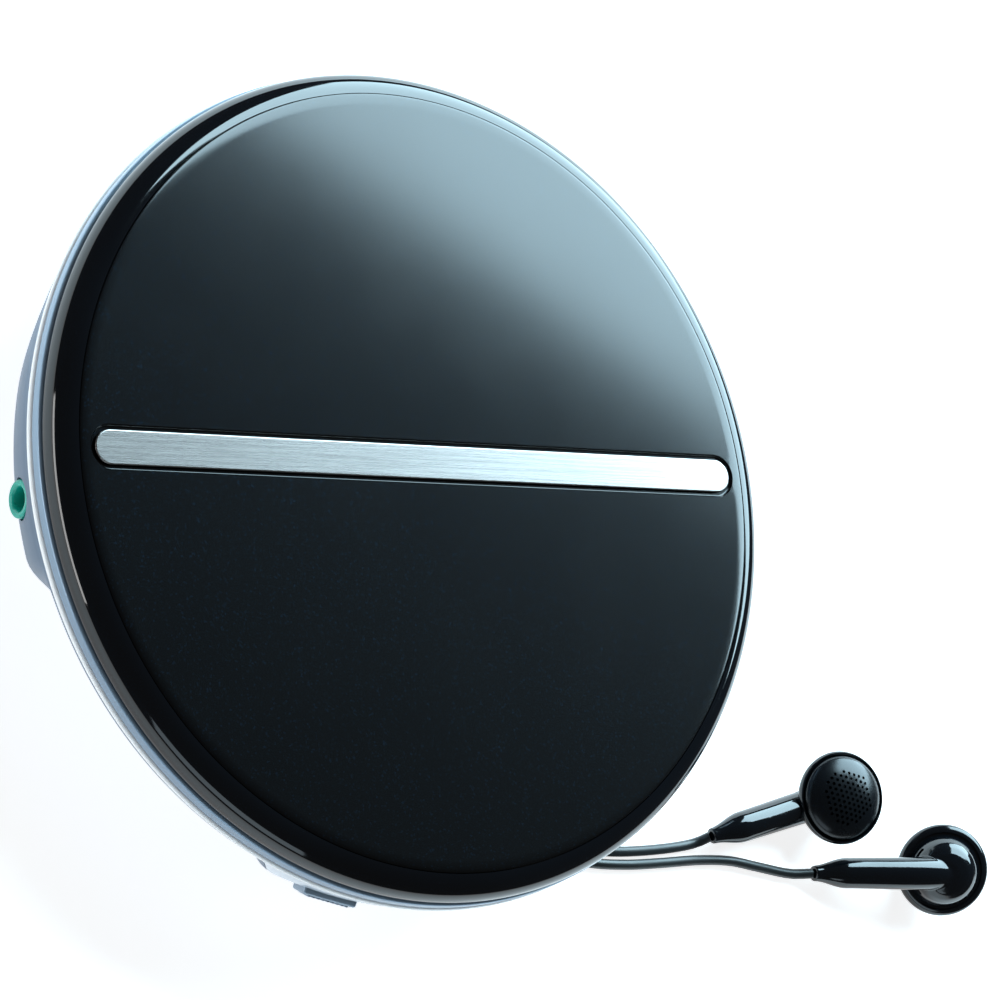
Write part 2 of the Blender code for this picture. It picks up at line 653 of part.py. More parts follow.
def sockets():
    end = -64.9 * MM
    body = box("headphone_jack", (end, JACK_Y - 3.2 * MM, 9 * MM), (-53 * MM, JACK_Y + 3.2 * MM, 15 * MM))
    leg = box("jack_leg", (-56 * MM, JACK_Y - 2 * MM, 4.9 * MM), (-50.5 * MM, JACK_Y + 2 * MM, 9.5 * MM))
    join(body, leg)
    bore_ends = [(x, JACK_Y, JACK_Z) for x in (end - 1 * MM, -55 * MM)]
    cut(body, rod("jack_bore", *bore_ends, 1.8 * MM, cutter=True))
    paint(body, (0.03, 0.03, 0.035), 0.5)
    profile = [(1.9 * MM, 68.6 * MM), (2.9 * MM, 68.6 * MM), (3.1 * MM, 68.4 * MM), (3.1 * MM, 65.2 * MM),
               (1.9 * MM, 65.2 * MM)]
    frame = Matrix.Translation((0, JACK_Y, JACK_Z)) @ Matrix.Rotation(math.radians(-90), 4, "Y")
    paint(turned("jack_ring", profile, closed=True, steps=24, frame=frame), (0.02, 0.42, 0.36), 0.3)
    turn = math.radians(POWER_ANGLE)
    out = Vector((math.cos(turn), math.sin(turn), 0))
    frame = Matrix.Translation(out * 48 * MM + Vector((0, 0, 9 * MM)))
    frame = frame @ out.to_track_quat("Z", "Y").to_matrix().to_4x4()
    depth = 9.6 * MM
    profile = [(0.6 * MM, depth - 0.5 * MM), (0.6 * MM, 1 * MM), (2.3 * MM, 1 * MM), (2.3 * MM, depth),
               (3.1 * MM, depth), (3.1 * MM, 0), (0, 0)]
    profile = [(0, depth - 0.5 * MM)] + profile
    paint(turned("power_jack", profile, steps=24, frame=frame), (0.03, 0.03, 0.035), 0.5)


def main_board():
    bm = bmesh.new()
    radius, chord = 54 * MM, -19.5 * MM
    half = math.acos(chord / radius)
    outline = []
    for step in range(25):
        turn = half + (2 * math.pi - 2 * half) * step / 24
        outline.append(bm.verts.new((radius * math.cos(turn), radius * math.sin(turn), 3.4 * MM)))
    face = bm.faces.new(outline)
    grown = bmesh.ops.extrude_face_region(bm, geom=[face])
    top = [item for item in grown["geom"] if isinstance(item, bmesh.types.BMVert)]
    bmesh.ops.translate(bm, vec=(0, 0, 1.2 * MM), verts=top)
    board = object_of("main_board", bm)
    for i, (x, y, wide, deep) in enumerate(((-36, -8, 12, 12), (-32, 12, 8, 6), (-44, 16, 5, 5))):
        join(board, box(f"chip_{i}", (x * MM, y * MM, 4 * MM), ((x + wide) * MM, (y + deep) * MM, 6 * MM)))
    paint(board, (0.03, 0.16, 0.08), 0.5)


# ---------- drive and optics ----------

def mechanism():
    low, high = 5.0 * MM, 6.2 * MM
    frame = box("mechanism_frame", (-18 * MM, -12 * MM, low), (13 * MM, 55.5 * MM, high))
    post_top = 12.6 * MM
    for i, (x, y) in enumerate(BEARINGS):
        join(frame, box(f"bearing_{i}", (x - 2.6 * MM, y, high - 0.4 * MM),
                        (x + 2.6 * MM, y + 2.4 * MM, post_top)))
    for i, x in enumerate((RAIL_X, SCREW_X)):
        cut(frame, rod(f"bearing_bore_{i}", (x, 5 * MM, SHAFT_Z), (x, 60 * MM, SHAFT_Z), 1.7 * MM, cutter=True))
    paint(frame, (0.40, 0.41, 0.43), 0.4, 0.8)
    for i, (x, y) in enumerate(((-14, -8), (9, -8), (-2.5, 50))):
        profile = [(1.2 * MM, 4.7 * MM), (2.6 * MM, 4.7 * MM), (2.2 * MM, 3.6 * MM), (2.6 * MM, 2.5 * MM),
                   (1.2 * MM, 2.5 * MM)]
        damper = turned(f"damper_{i + 1}", profile, closed=True, steps=20,
                        frame=Matrix.Translation((x * MM, y * MM, 0)))
        paint(damper, (0.04, 0.04, 0.045), 0.8)

    profile = [(0, 8.2 * MM), (1.3 * MM, 8.2 * MM), (1.3 * MM, 15.2 * MM), (7.5 * MM, 15.2 * MM),
               (7.5 * MM, 6.5 * MM), (0, 6.5 * MM)]
    paint(turned("spindle_motor", profile, steps=28), (0.55, 0.56, 0.58), 0.3, 1.0)

    profile = [(0, 21.7 * MM), (5.2 * MM, 21.7 * MM), (7.2 * MM, 20.6 * MM), (7.3 * MM, 19.0 * MM),
               (15.6 * MM, 19.0 * MM), (16.0 * MM, 18.7 * MM), (16.0 * MM, 17.6 * MM), (9.0 * MM, 17.6 * MM),
               (8.0 * MM, 16.0 * MM), (1.0 * MM, 16.0 * MM), (1.0 * MM, 8.6 * MM), (0, 8.6 * MM)]
    table = turned("turntable", profile, steps=36)
    for i in range(3):
        turn = math.radians(90 + 120 * i)
        bm = bmesh.new()
        bmesh.ops.create_uvsphere(bm, u_segments=12, v_segments=8, radius=1.1 * MM)
        grip = object_of(f"disc_grip_{i}", bm)
        grip.location = (6.6 * MM * math.cos(turn), 6.6 * MM * math.sin(turn), 20.2 * MM)
        join(table, grip)
    paint(smooth(table), (0.03, 0.032, 0.035), 0.4)

    rail = rod("guide_rail", (RAIL_X, 9.0 * MM, SHAFT_Z), (RAIL_X, 55.8 * MM, SHAFT_Z), 1.5 * MM, steps=20)
    paint(rail, (0.70, 0.71, 0.73), 0.15, 1.0)
    screw = rod("lead_screw", (0, 0, 0), (0, 47.2 * MM, 0), 1.4 * MM, steps=20)
    screw.matrix_world = Matrix.Translation((SCREW_X, 8.6 * MM, SHAFT_Z)) @ screw.matrix_world
    paint(screw, (0.66, 0.66, 0.68), 0.25, 1.0)
    motor = rod("sled_motor", (SCREW_X - 1.5 * MM, -7 * MM, SHAFT_Z + 0.4 * MM),
                (SCREW_X - 1.5 * MM, 8.2 * MM, SHAFT_Z + 0.4 * MM), 3.9 * MM, steps=28)
    paint(motor, (0.60, 0.60, 0.62), 0.3, 1.0)

    sled = box("sled", (-9 * MM, 14 * MM, 7.4 * MM), (6.8 * MM, 26.5 * MM, 14.4 * MM))
    bush = box("sled_bush", (6.0 * MM, 14 * MM, 7.4 * MM), (12.8 * MM, 19.4 * MM, 12.8 * MM))
    nut = box("sled_nut", (-15.2 * MM, 14 * MM, 7.4 * MM), (-8.5 * MM, 19 * MM, 12.8 * MM))
    join(sled, bush, nut)
    cut(sled, rod("rail_bore", (RAIL_X, 12 * MM, SHAFT_Z), (RAIL_X, 22 * MM, SHAFT_Z), 1.75 * MM, cutter=True))
    cut(sled, rod("nut_bore", (SCREW_X, 12 * MM, SHAFT_Z), (SCREW_X, 22 * MM, SHAFT_Z), 1.75 * MM, cutter=True))
    paint(sled, (0.05, 0.05, 0.055), 0.5)

    holder = box("lens_holder", (-5 * MM, LENS_Y - 4 * MM, 15.1 * MM), (5 * MM, LENS_Y + 4 * MM, 16.9 * MM),
                 bevel=0.3 * MM)
    paint(holder, (0.08, 0.08, 0.085), 0.45)
    profile = [(0, 18.0 * MM), (1.0 * MM, 17.9 * MM), (1.8 * MM, 17.6 * MM), (2.2 * MM, 17.5 * MM),
               (2.2 * MM, 17.2 * MM), (0, 17.2 * MM)]
    lens = turned("lens", profile, steps=24, frame=Matrix.Translation((0, LENS_Y, 0)))
    paint(smooth(lens), (0.30, 0.35, 0.60), 0.05)


# ---------- earphones ----------

def earbud(side, head, normal, stem):
    """Housing with a flange, a dome behind and a curved stem, and the grille in front."""
    normal = Vector(normal).normalized()
    stem = Vector(stem).normalized()
    across = stem.cross(normal).normalized()
    along = normal.cross(across).normalized()
    frame = Matrix((across, along, normal)).transposed().to_4x4()
    frame.translation = head
    profile = [(0, -0.4 * MM), (7.6 * MM, -0.4 * MM), (7.6 * MM, 0.3 * MM), (7.9 * MM, 0.5 * MM),
               (BUD_RADIUS, 0.1 * MM), (BUD_RADIUS, -0.6 * MM), (7.7 * MM, -1.3 * MM), (6.1 * MM, -1.8 * MM),
               (5.9 * MM, -2.8 * MM), (5.2 * MM, -4.5 * MM), (3.8 * MM, -5.8 * MM), (2.0 * MM, -6.4 * MM),
               (0, -6.5 * MM)]
    housing = turned(f"earbud_housing_{side}", profile, steps=28, frame=frame)
    tip = head + stem * STEM_LENGTH
    root = head - normal * 3.2 * MM
    neck = head - normal * 5.5 * MM + stem * 6.5 * MM
    ends = (root, neck, tip - stem * 10 * MM, tip)
    count = 11
    spine, taper = [], []
    for step in range(count + 1):
        t = step / count
        weights = ((1 - t) ** 3, 3 * t * (1 - t) ** 2, 3 * t * t * (1 - t), t ** 3)
        spine.append(sum((point * weight for point, weight in zip(ends, weights)), Vector()))
        taper.append(STEM_RADIUS * (1 - 0.12 * t - 0.38 * ease((t - 0.78) / 0.22)))
    branch = as_mesh(tube(f"stem_{side}", spine, 1 * MM, taper, resolution=4))
    join(housing, branch)
    paint(smooth(housing, 50), (0.008, 0.010, 0.013), 0.12)
    profile = [(0, 3.3 * MM), (2.6 * MM, 3.1 * MM), (4.9 * MM, 2.4 * MM), (6.5 * MM, 1.5 * MM),
               (7.2 * MM, 0.6 * MM), (7.3 * MM, -0.1 * MM), (0, -0.1 * MM)]
    grille = turned(f"earbud_grille_{side}", profile, steps=28, frame=frame)
    paint(smooth(grille, 50), (0.012, 0.014, 0.018), 0.25)
    return tip + stem * GAP


def hank_frame():
    """Frame at the hank's centre: X outwards, Y along it, Z up."""
    frame = Matrix.Rotation(HANK_ANGLE, 4, "Z")
    centre = Vector((HANK_RADIUS, 0, 0.3 * MM + HANK_HEIGHT / 2))
    return frame @ Matrix.Translation(centre)


def earphones():
    left_start = earbud("left", LEFT_HEAD, LEFT_NORMAL, LEFT_STEM)
    right_start = earbud("right", RIGHT_HEAD, RIGHT_NORMAL, RIGHT_STEM)
    frame = hank_frame()
    near = -HANK_LENGTH / 2 - GAP
    left_end = frame @ Vector((2.2 * MM, near, -HANK_HEIGHT / 2 + 1.5 * MM))
    right_end = frame @ Vector((-1.4 * MM, near, -HANK_HEIGHT / 2 + 1.5 * MM))
    table = 1.0 * MM
    left_route = [left_start, (66, -56.6), (61.5, -57.3), (55, -57.8), (48, -57.9), (42, -57.2), (38.2, -54.8),
                  (39.4, -51.9), (44.5, -48.9), (51, -43.2), (57.5, -36), (63, -27), left_end]
    right_route = [right_start, (86, -62.2), (79, -60.9), (73, -59.8), (66, -59.6), (58, -60.0), (50, -60.2),
                   (42, -59.6), (34.5, -57.2), (32.2, -53.8), (35.4, -51.6), (43.0, -46.6), (50, -40.0),
                   (56, -32), (61, -24), right_end]
    for name, route in (("lead_left", left_route), ("lead_right", right_route)):
        points = []
        for point in route:
            points.append(Vector(point) if len(point) == 3 else Vector((point[0] * MM, point[1] * MM, table)))
        paint(tube(name, smooth_path(points, 4.2 * MM), CORD_RADIUS), (0.012, 0.014, 0.016), 0.45)

    bm = bmesh.new()
    radius = HANK_WIDTH / 2
    outline = []
    for end in (1, -1):
        for step in range(13):
            turn = math.radians(180 * step / 12)
            outline.append(bm.verts.new((end * radius * math.cos(turn),
                                         end * (HANK_LENGTH / 2 - radius + radius * math.sin(turn)),
                                         -HANK_HEIGHT / 2)))
    face = bm.faces.new(outline)
    grown = bmesh.ops.extrude_face_region(bm, geom=[face])
    top = [item for item in grown["geom"] if isinstance(item, bmesh.types.BMVert)]
    bmesh.ops.translate(bm, vec=(0, 0, HANK_HEIGHT), verts=top)
    rims = [edge for edge in bm.edges if abs(edge.verts[0].co.z - edge.verts[1].co.z) < 0.1 * MM]
    bmesh.ops.bevel(bm, geom=rims, offset=2.2 * MM, segments=3, profile=0.5, affect="EDGES")
    hank = object_of("cord_hank", bm)
    hank.matrix_world = frame
    cut(hank, box("tie_groove", (-10 * MM, -2.2 * MM, -8 * MM), (10 * MM, 2.2 * MM, 8 * MM),
                  cutter=True, frame=frame))
    wide, tall, groove = HANK_WIDTH / 2, HANK_HEIGHT / 2, 0.5 * MM
    core = box("tie_core", (-wide + groove, -3 * MM, -tall + groove), (wide - groove, 3 * MM, tall - groove),
               frame=frame, bevel=2 * MM)
    join(hank, core)
    paint(smooth(hank), (0.012, 0.014, 0.016), 0.5)
    tie = box("hank_tie", (-wide, -1.6 * MM, -tall), (wide, 1.6 * MM, tall), frame=frame)
    cut(tie, box("tie_room", (-wide + 0.25 * MM, -4 * MM, -tall + 0.25 * MM),
                 (wide - 0.25 * MM, 4 * MM, tall - 0.25 * MM), cutter=True, frame=frame))
    paint(tie, (0.02, 0.02, 0.022), 0.6)

    # The splitter lies past the hank's far end, with both leads and the main cord coming out of the hank.
    far = HANK_LENGTH / 2 + GAP
    splitter_start = frame @ Vector((2.4 * MM, far, -HANK_HEIGHT / 2 + 2.0 * MM))
    turn = HANK_ANGLE + math.radians(90)
    heading = Vector((math.cos(turn + 0.12), math.sin(turn + 0.12), 0))
    splitter_frame = Matrix.Translation(splitter_start) @ heading.to_track_quat("Z", "Y").to_matrix().to_4x4()
    profile = [(0, 11 * MM), (1.5 * MM, 11 * MM), (1.9 * MM, 10 * MM), (1.9 * MM, 4 * MM), (1.6 * MM, 0.0),
               (0, 0)]
    splitter = turned("cord_splitter", profile, steps=20, frame=splitter_frame)
    paint(smooth(splitter), (0.010, 0.012, 0.014), 0.3)

    out = splitter_start + heading * (11 * MM + GAP)
    back_end = frame @ Vector((-2.8 * MM, far, -HANK_HEIGHT / 2 + 1.6 * MM))
    across = frame.to_3x3() @ Vector((-1, 0, 0))
    loop = [out, out + heading * 3 * MM + across * 0.5 * MM, out + heading * 4.6 * MM + across * 3.2 * MM,
            out + heading * 2.2 * MM + across * 5.4 * MM, back_end - heading * -5 * MM, back_end]
    for point in loop[1:5]:
        point.z = 1.9 * MM
    paint(tube("cord_to_hank", smooth_path(loop, 2.6 * MM), CORD_RADIUS), (0.012, 0.014, 0.016), 0.45)

    # The plug lies beyond the splitter, along the base.
    plug_turn = math.radians(58)
    place = Vector((math.cos(plug_turn), math.sin(plug_turn), 0)) * 67.0 * MM + Vector((0, 0, 3.4 * MM))
    plug_heading = Vector((-math.sin(plug_turn + 0.22), math.cos(plug_turn + 0.22), 0))
    plug_frame = Matrix.Translation(place) @ plug_heading.to_track_quat("Z", "Y").to_matrix().to_4x4()
    profile = [(0, 30 * MM), (0.9 * MM, 29.6 * MM), (1.5 * MM, 28.4 * MM), (1.75 * MM, 27.6 * MM),
               (1.75 * MM, 16 * MM), (3.0 * MM, 16 * MM), (3.0 * MM, 5 * MM), (2.0 * MM, 4 * MM),
               (1.5 * MM, 0), (0, 0)]
    plug = turned("plug", profile, steps=24, frame=plug_frame)
    paint(smooth(plug), (0.015, 0.017, 0.02), 0.35)
    start = place - plug_heading * GAP
    hank_side = frame @ Vector((-0.2 * MM, far, HANK_HEIGHT / 2 - 3.0 * MM))
    route = [start, start - plug_heading * 4 * MM, hank_side + heading * 14 * MM + across * 1.5 * MM,
             hank_side + heading * 5 * MM, hank_side]
    route[1].z, route[2].z = 3.2 * MM, 5.6 * MM
    paint(tube("cord_to_plug", smooth_path(route, 3 * MM), CORD_RADIUS), (0.012, 0.014, 0.016), 0.45)


def main():
    global COLLECTION, CUTTERS
    clear_scene()
    COLLECTION = new_collection("portable_disc_player")
    CUTTERS = new_collection("cutters")
    _, fascia = base_and_fascia()
    trim_bead()
    mid_housing()
    feet_and_screws()
    battery_parts()
    lid_parts()
    controls(fascia)
    display(fascia)
    lid_switch()
    sockets()
    main_board()
    mechanism()
    earphones()


main()
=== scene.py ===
# %% [markdown]
# # A portable disc player with earphones
# The real object is a round player about 139 mm across, made of moulded plastic shells:
# a gloss black lid, a silver ring, a bead whose pure white is a painted highlight, and a grey
# bowl under them. Its parts come as a imported frame in metres, so every piece here is built
# where that frame has it.

# %% Load the frame and keep its box
import json
import math

import bmesh
import bpy
from mathutils import Matrix, Vector


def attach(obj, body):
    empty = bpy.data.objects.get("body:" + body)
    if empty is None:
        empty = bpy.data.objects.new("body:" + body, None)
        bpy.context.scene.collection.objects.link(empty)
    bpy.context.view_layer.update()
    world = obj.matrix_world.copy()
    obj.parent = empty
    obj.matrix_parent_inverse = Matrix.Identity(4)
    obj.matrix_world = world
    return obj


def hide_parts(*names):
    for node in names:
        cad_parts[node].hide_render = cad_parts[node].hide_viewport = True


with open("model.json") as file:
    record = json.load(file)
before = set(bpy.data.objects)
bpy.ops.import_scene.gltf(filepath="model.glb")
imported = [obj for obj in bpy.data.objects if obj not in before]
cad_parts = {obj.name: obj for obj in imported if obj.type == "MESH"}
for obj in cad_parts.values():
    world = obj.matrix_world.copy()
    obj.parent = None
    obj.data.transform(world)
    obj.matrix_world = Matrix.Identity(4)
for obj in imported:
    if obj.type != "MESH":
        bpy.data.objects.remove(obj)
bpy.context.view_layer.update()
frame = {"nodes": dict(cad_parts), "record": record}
MM = 0.001

# %% [markdown]
# ## Camera
# A long lens from the left and above shows the lid as a slightly tilted circle. It is made
# before the cords, because how far they may spread depends on what the camera sees.

# %% Camera
camera_data = bpy.data.cameras.new("camera")
camera_data.lens = 162.0
camera_data.sensor_width = 36.0
camera_data.clip_start = 0.01
camera_data.clip_end = 10.0
camera = bpy.data.objects.new("camera", camera_data)
bpy.context.scene.collection.objects.link(camera)
look_right = Vector((0.81621, -0.09797, 0.56939))
look_up = Vector((-0.03486, 0.97537, 0.21780))
look_back = Vector((-0.57671, -0.19762, 0.79269))
camera.matrix_world = Matrix((look_right, look_up, look_back)).transposed().to_4x4()
camera.location = (-0.41161, -0.14908, 0.61060)
bpy.context.scene.camera = camera
print("camera at", [round(value, 3) for value in camera.location])

# %% [markdown]
# ## Materials
# Each finish starts from what the real one is. Colours are sRGB hex values that one function
# turns to linear, and one small function adds a node with its settings and links.

# %% Colour and node helpers
def colour(code):
    """An sRGB hex value as linear red, green, blue and alpha."""
    parts = [int(code[i:i + 2], 16) / 255 for i in (0, 2, 4)]
    linear = [part / 12.92 if part <= 0.04045 else ((part + 0.055) / 1.055) ** 2.4 for part in parts]
    return (*linear, 1.0)


def add(tree, kind, links=None, **settings):
    """Adds a node. links gives its inputs: a value to set, or a socket to join."""
    node = tree.nodes.new(kind)
    for name, value in settings.items():
        setattr(node, name, value)
    for name, value in (links or {}).items():
        if isinstance(value, bpy.types.NodeSocket):
            tree.links.new(value, node.inputs[name])
        else:
            node.inputs[name].default_value = value
    return node


def ramp(tree, factor, *stops):
    """A colour ramp with (place, colour) stops, read at a factor."""
    node = add(tree, "ShaderNodeValToRGB", {"Fac": factor})
    band = node.color_ramp
    while len(band.elements) < len(stops):
        band.elements.new(0.5)
    for element, (place, shade) in zip(band.elements, stops):
        element.position = place
        element.color = shade if isinstance(shade, tuple) else (shade, shade, shade, 1.0)
    return node.outputs["Color"]


def material(name, **inputs):
    """A Principled material with plain values on its sockets; returns it, its tree and its shader."""
    made = bpy.data.materials.new(name)
    made.use_nodes = True
    tree = made.node_tree
    shader = tree.nodes["Principled BSDF"]
    for socket, value in inputs.items():
        shader.inputs[socket.replace("_", " ")].default_value = value
    return made, tree, shader


def object_space(tree, scale=(1.0, 1.0, 1.0)):
    """Object coordinates in millimetres, stretched by a scale."""
    place = add(tree, "ShaderNodeTexCoord")
    sizes = [1000.0 * value for value in scale]
    return add(tree, "ShaderNodeMapping", {"Vector": place.outputs["Object"], "Scale": sizes}).outputs[0]


# %% [markdown]
# Moulded plastic is never one flat value: the tool leaves a fine spark-eroded texture of
# about 0.1 mm, thickness changes shift the tone a little over centimetres, and handling
# polishes it unevenly. One function gives those three to every moulded part, because only
# their strengths differ between a satin shell and a gloss one.

# %% Moulded plastics and paints
def moulded(name, base, other, rough, spread, grain, **inputs):
    """Plastic with a tone shift over 40 mm, uneven polish over 9 mm and a grain 0.35 mm wide."""
    made, tree, shader = material(name, **inputs)
    space = object_space(tree)
    tone = add(tree, "ShaderNodeTexNoise", {"Vector": space, "Scale": 1 / 40, "Detail": 2.0})
    tint = ramp(tree, tone.outputs["Fac"], (0.3, colour(base)), (0.7, colour(other)))
    tree.links.new(tint, shader.inputs["Base Color"])
    polish = add(tree, "ShaderNodeTexNoise", {"Vector": space, "Scale": 1 / 9, "Detail": 4.0})
    worn = add(tree, "ShaderNodeMapRange", {"Value": polish.outputs["Fac"], "From Min": 0.3, "From Max": 0.7,
                                            "To Min": rough - spread, "To Max": rough + spread})
    tree.links.new(worn.outputs[0], shader.inputs["Roughness"])
    eroded = add(tree, "ShaderNodeTexNoise", {"Vector": space, "Scale": 1 / 0.35, "Detail": 2.0})
    bump = add(tree, "ShaderNodeBump", {"Height": eroded.outputs["Fac"], "Strength": 1.0,
                                        "Distance": grain * MM})
    tree.links.new(bump.outputs[0], shader.inputs["Normal"])
    return made


finishes = {}
# Piano-black ABS from a polished tool: a mirror skin, so its roughness is almost nothing.
finishes["lid_gloss"] = moulded("piano_black_abs", "04060A", "070B10", 0.06, 0.02, 0.0004, IOR=1.53)
# Painted ABS of the ring: blue-grey lacquer with a little aluminium powder, so part metallic.
finishes["ring_silver"] = moulded("blue_grey_metallic_lacquer", "7C93A8", "869CB0", 0.34, 0.04, 0.002,
                                  Metallic=0.45, Coat_Weight=0.3, Coat_Roughness=0.15)
# Gloss white ABS with a soft shine. On the bead, its pure white is a painted highlight along the ring's lower
# edge. On the keys, it is the white of the signs.
finishes["bead_white"] = moulded("gloss_white_abs", "F4F8FB", "FAFCFE", 0.18, 0.03, 0.0006, IOR=1.53)
# Satin blue-grey ABS of the bowl.
finishes["base_grey"] = moulded("satin_blue_grey_abs", "566B80", "5E7389", 0.40, 0.05, 0.004,
                                Metallic=0.15, IOR=1.53)
# Light silver lacquer of the front panel.
finishes["fascia_silver"] = moulded("light_silver_lacquer", "C3D2DF", "CCDAE5", 0.30, 0.04, 0.002,
                                    Metallic=0.35, Coat_Weight=0.4, Coat_Roughness=0.12)
finishes["control_silver"] = moulded("silver_lacquered_keys", "8FA1B2", "9AABBB", 0.36, 0.04, 0.002,
                                     Metallic=0.4)
finishes["black_satin"] = moulded("satin_black_abs", "16181C", "1D2025", 0.46, 0.06, 0.004, IOR=1.53)
finishes["plunger_white"] = moulded("natural_acetal", "DADBD6", "E2E2DD", 0.42, 0.05, 0.002, IOR=1.48)
finishes["jack_teal"] = moulded("teal_abs", "0FA08E", "12AB99", 0.24, 0.04, 0.001, IOR=1.53)
finishes["rubber_black"] = moulded("nitrile_rubber", "141416", "1C1C1F", 0.78, 0.08, 0.010, IOR=1.52)
finishes["tie_black"] = moulded("pvc_coated_tie", "101113", "17181B", 0.5, 0.06, 0.004, IOR=1.54)
finishes["plug_body"] = moulded("soft_pvc_plug_boot", "0B0C0E", "111316", 0.42, 0.05, 0.004, IOR=1.54)
finishes["earbud_gloss"] = moulded("gloss_black_earphone_abs", "06090C", "0A0E13", 0.10, 0.03, 0.0005,
                                   IOR=1.53)
finishes["grille_black"] = moulded("black_lacquered_grille", "080C10", "0D1217", 0.24, 0.05, 0.001,
                                   Metallic=0.3)
finishes["display_window"] = moulded("smoked_acrylic", "06080B", "080B0F", 0.05, 0.015, 0.0003, IOR=1.49)
finishes["display_glass"] = moulded("display_glass", "5F6B57", "66725D", 0.16, 0.03, 0.0003, IOR=1.52)
print(len(finishes), "moulded finishes")

# %% [markdown]
# ## The lid's flake lacquer
# The lid plate is black lacquer with fine blue metal flakes under a satin clear coat, so
# the flakes are the metallic base and the coat gives the soft reflection. Real flakes are
# about 0.05 mm, too fine to show, so each is one Voronoi cell 0.28 mm wide with its own
# brightness, and only the brightest few in a hundred light up.

# %% Flake lacquer
FLAKE = 0.28
flake, tree, shader = material("black_flake_lacquer", Metallic=1.0, Roughness=0.40, Coat_Weight=1.0,
                               Coat_IOR=1.46)
space = object_space(tree)
cells = add(tree, "ShaderNodeTexVoronoi", {"Vector": space, "Scale": 1 / FLAKE})
chosen = add(tree, "ShaderNodeSeparateColor", {"Color": cells.outputs["Color"]})
shine = ramp(tree, chosen.outputs[0], (0.0, colour("000103")), (0.80, colour("000204")),
             (0.93, colour("010509")), (1.0, colour("040F19")))
tree.links.new(shine, shader.inputs["Base Color"])
cloud = add(tree, "ShaderNodeTexNoise", {"Vector": space, "Scale": 1 / 18, "Detail": 3.0})
satin = add(tree, "ShaderNodeMapRange", {"Value": cloud.outputs["Fac"], "From Min": 0.3, "From Max": 0.7,
                                         "To Min": 0.120, "To Max": 0.130})
tree.links.new(satin.outputs[0], shader.inputs["Coat Roughness"])
peel = add(tree, "ShaderNodeBump", {"Height": cells.outputs["Distance"], "Strength": 0.5,
                                    "Distance": 0.0012 * MM})
tree.links.new(peel.outputs[0], shader.inputs["Normal"])
tree.links.new(peel.outputs[0], shader.inputs["Coat Normal"])
finishes["lid_flake"] = flake
print("flakes of", FLAKE, "mm")

# %% [markdown]
# ## Metals
# Brushed aluminium has hairline scratches along the strip, so one noise is stretched a
# hundred times along X: 0.12 mm across and 12 mm long. It moves both the roughness and the
# height. Turned steel and bright contact metal use the same function with other scales.

# %% Metals
def metal(name, base, other, rough, spread, scale, depth, **inputs):
    """A metal whose scratches are scale millimetres long on each axis."""
    made, tree, shader = material(name, Metallic=1.0, **inputs)
    space = object_space(tree, [1 / value for value in scale])
    lines = add(tree, "ShaderNodeTexNoise", {"Vector": space, "Scale": 1.0, "Detail": 5.0, "Roughness": 0.6})
    tint = ramp(tree, lines.outputs["Fac"], (0.25, colour(base)), (0.75, colour(other)))
    tree.links.new(tint, shader.inputs["Base Color"])
    worn = add(tree, "ShaderNodeMapRange", {"Value": lines.outputs["Fac"], "From Min": 0.25, "From Max": 0.75,
                                            "To Min": rough - spread, "To Max": rough + spread})
    tree.links.new(worn.outputs[0], shader.inputs["Roughness"])
    bump = add(tree, "ShaderNodeBump", {"Height": lines.outputs["Fac"], "Strength": 1.0,
                                        "Distance": depth * MM})
    tree.links.new(bump.outputs[0], shader.inputs["Normal"])
    return made


finishes["strip_brushed"] = metal("brushed_anodised_aluminium", "938E8C", "B0AAA8", 0.27, 0.03,
                                  (14.0, 0.10, 0.10), 0.0015)
finishes["steel"] = metal("turned_steel", "8E9092", "B5B7B9", 0.24, 0.05, (0.2, 0.2, 3.0), 0.002)
finishes["frame_metal"] = metal("pressed_aluminium_sheet", "84888D", "A0A4A8", 0.42, 0.07, (3.0, 1.0, 1.0), 0.004)
finishes["contact_metal"] = metal("nickel_plated_spring_steel", "AFAEA6", "CFCDC4", 0.22, 0.05,
                                  (0.3, 2.0, 0.3), 0.001)
print("four metals")

# %% [markdown]
# ## Board, cells, lens and cord
# The circuit board shows copper tracks under green solder mask: a brick pattern 2.5 mm by
# 0.6 mm stands for them. A cell's printed sleeve is two tone bands with no words. The cord's
# soft skin has a faint ripple along it. The lens is glass with a blue coating.

# %% Board, cells, lens and cord
board, tree, shader = material("solder_masked_board", Roughness=0.38, IOR=1.55)
space = object_space(tree)
tracks = add(tree, "ShaderNodeTexBrick", {
    "Vector": space, "Scale": 1.0, "Mortar Size": 0.12, "Brick Width": 2.5, "Row Height": 0.6,
    "Color1": colour("11512C"), "Color2": colour("0D4525"), "Mortar": colour("2C7A45")})
tree.links.new(tracks.outputs["Color"], shader.inputs["Base Color"])
step_up = add(tree, "ShaderNodeBump", {"Height": tracks.outputs["Fac"], "Strength": 1.0,
                                       "Distance": 0.03 * MM})
tree.links.new(step_up.outputs[0], shader.inputs["Normal"])
finishes["board_green"] = board

sleeve, tree, shader = material("printed_cell_sleeve", Metallic=0.6)
space = object_space(tree)
along = add(tree, "ShaderNodeSeparateXYZ", {"Vector": space})
band = add(tree, "ShaderNodeMapRange", {"Value": along.outputs["Y"], "From Min": -24.0, "From Max": 26.4})
bands = ramp(tree, band.outputs[0], (0.0, colour("1A1C1F")), (0.70, colour("1C1E22")),
             (0.72, colour("B9813A")), (1.0, colour("C58C42")))
tree.links.new(bands, shader.inputs["Base Color"])
rub = add(tree, "ShaderNodeTexNoise", {"Vector": space, "Scale": 1 / 3.0, "Detail": 4.0})
rubbed = add(tree, "ShaderNodeMapRange", {"Value": rub.outputs["Fac"], "To Min": 0.22, "To Max": 0.42})
tree.links.new(rubbed.outputs[0], shader.inputs["Roughness"])
finishes["cell_wrap"] = sleeve

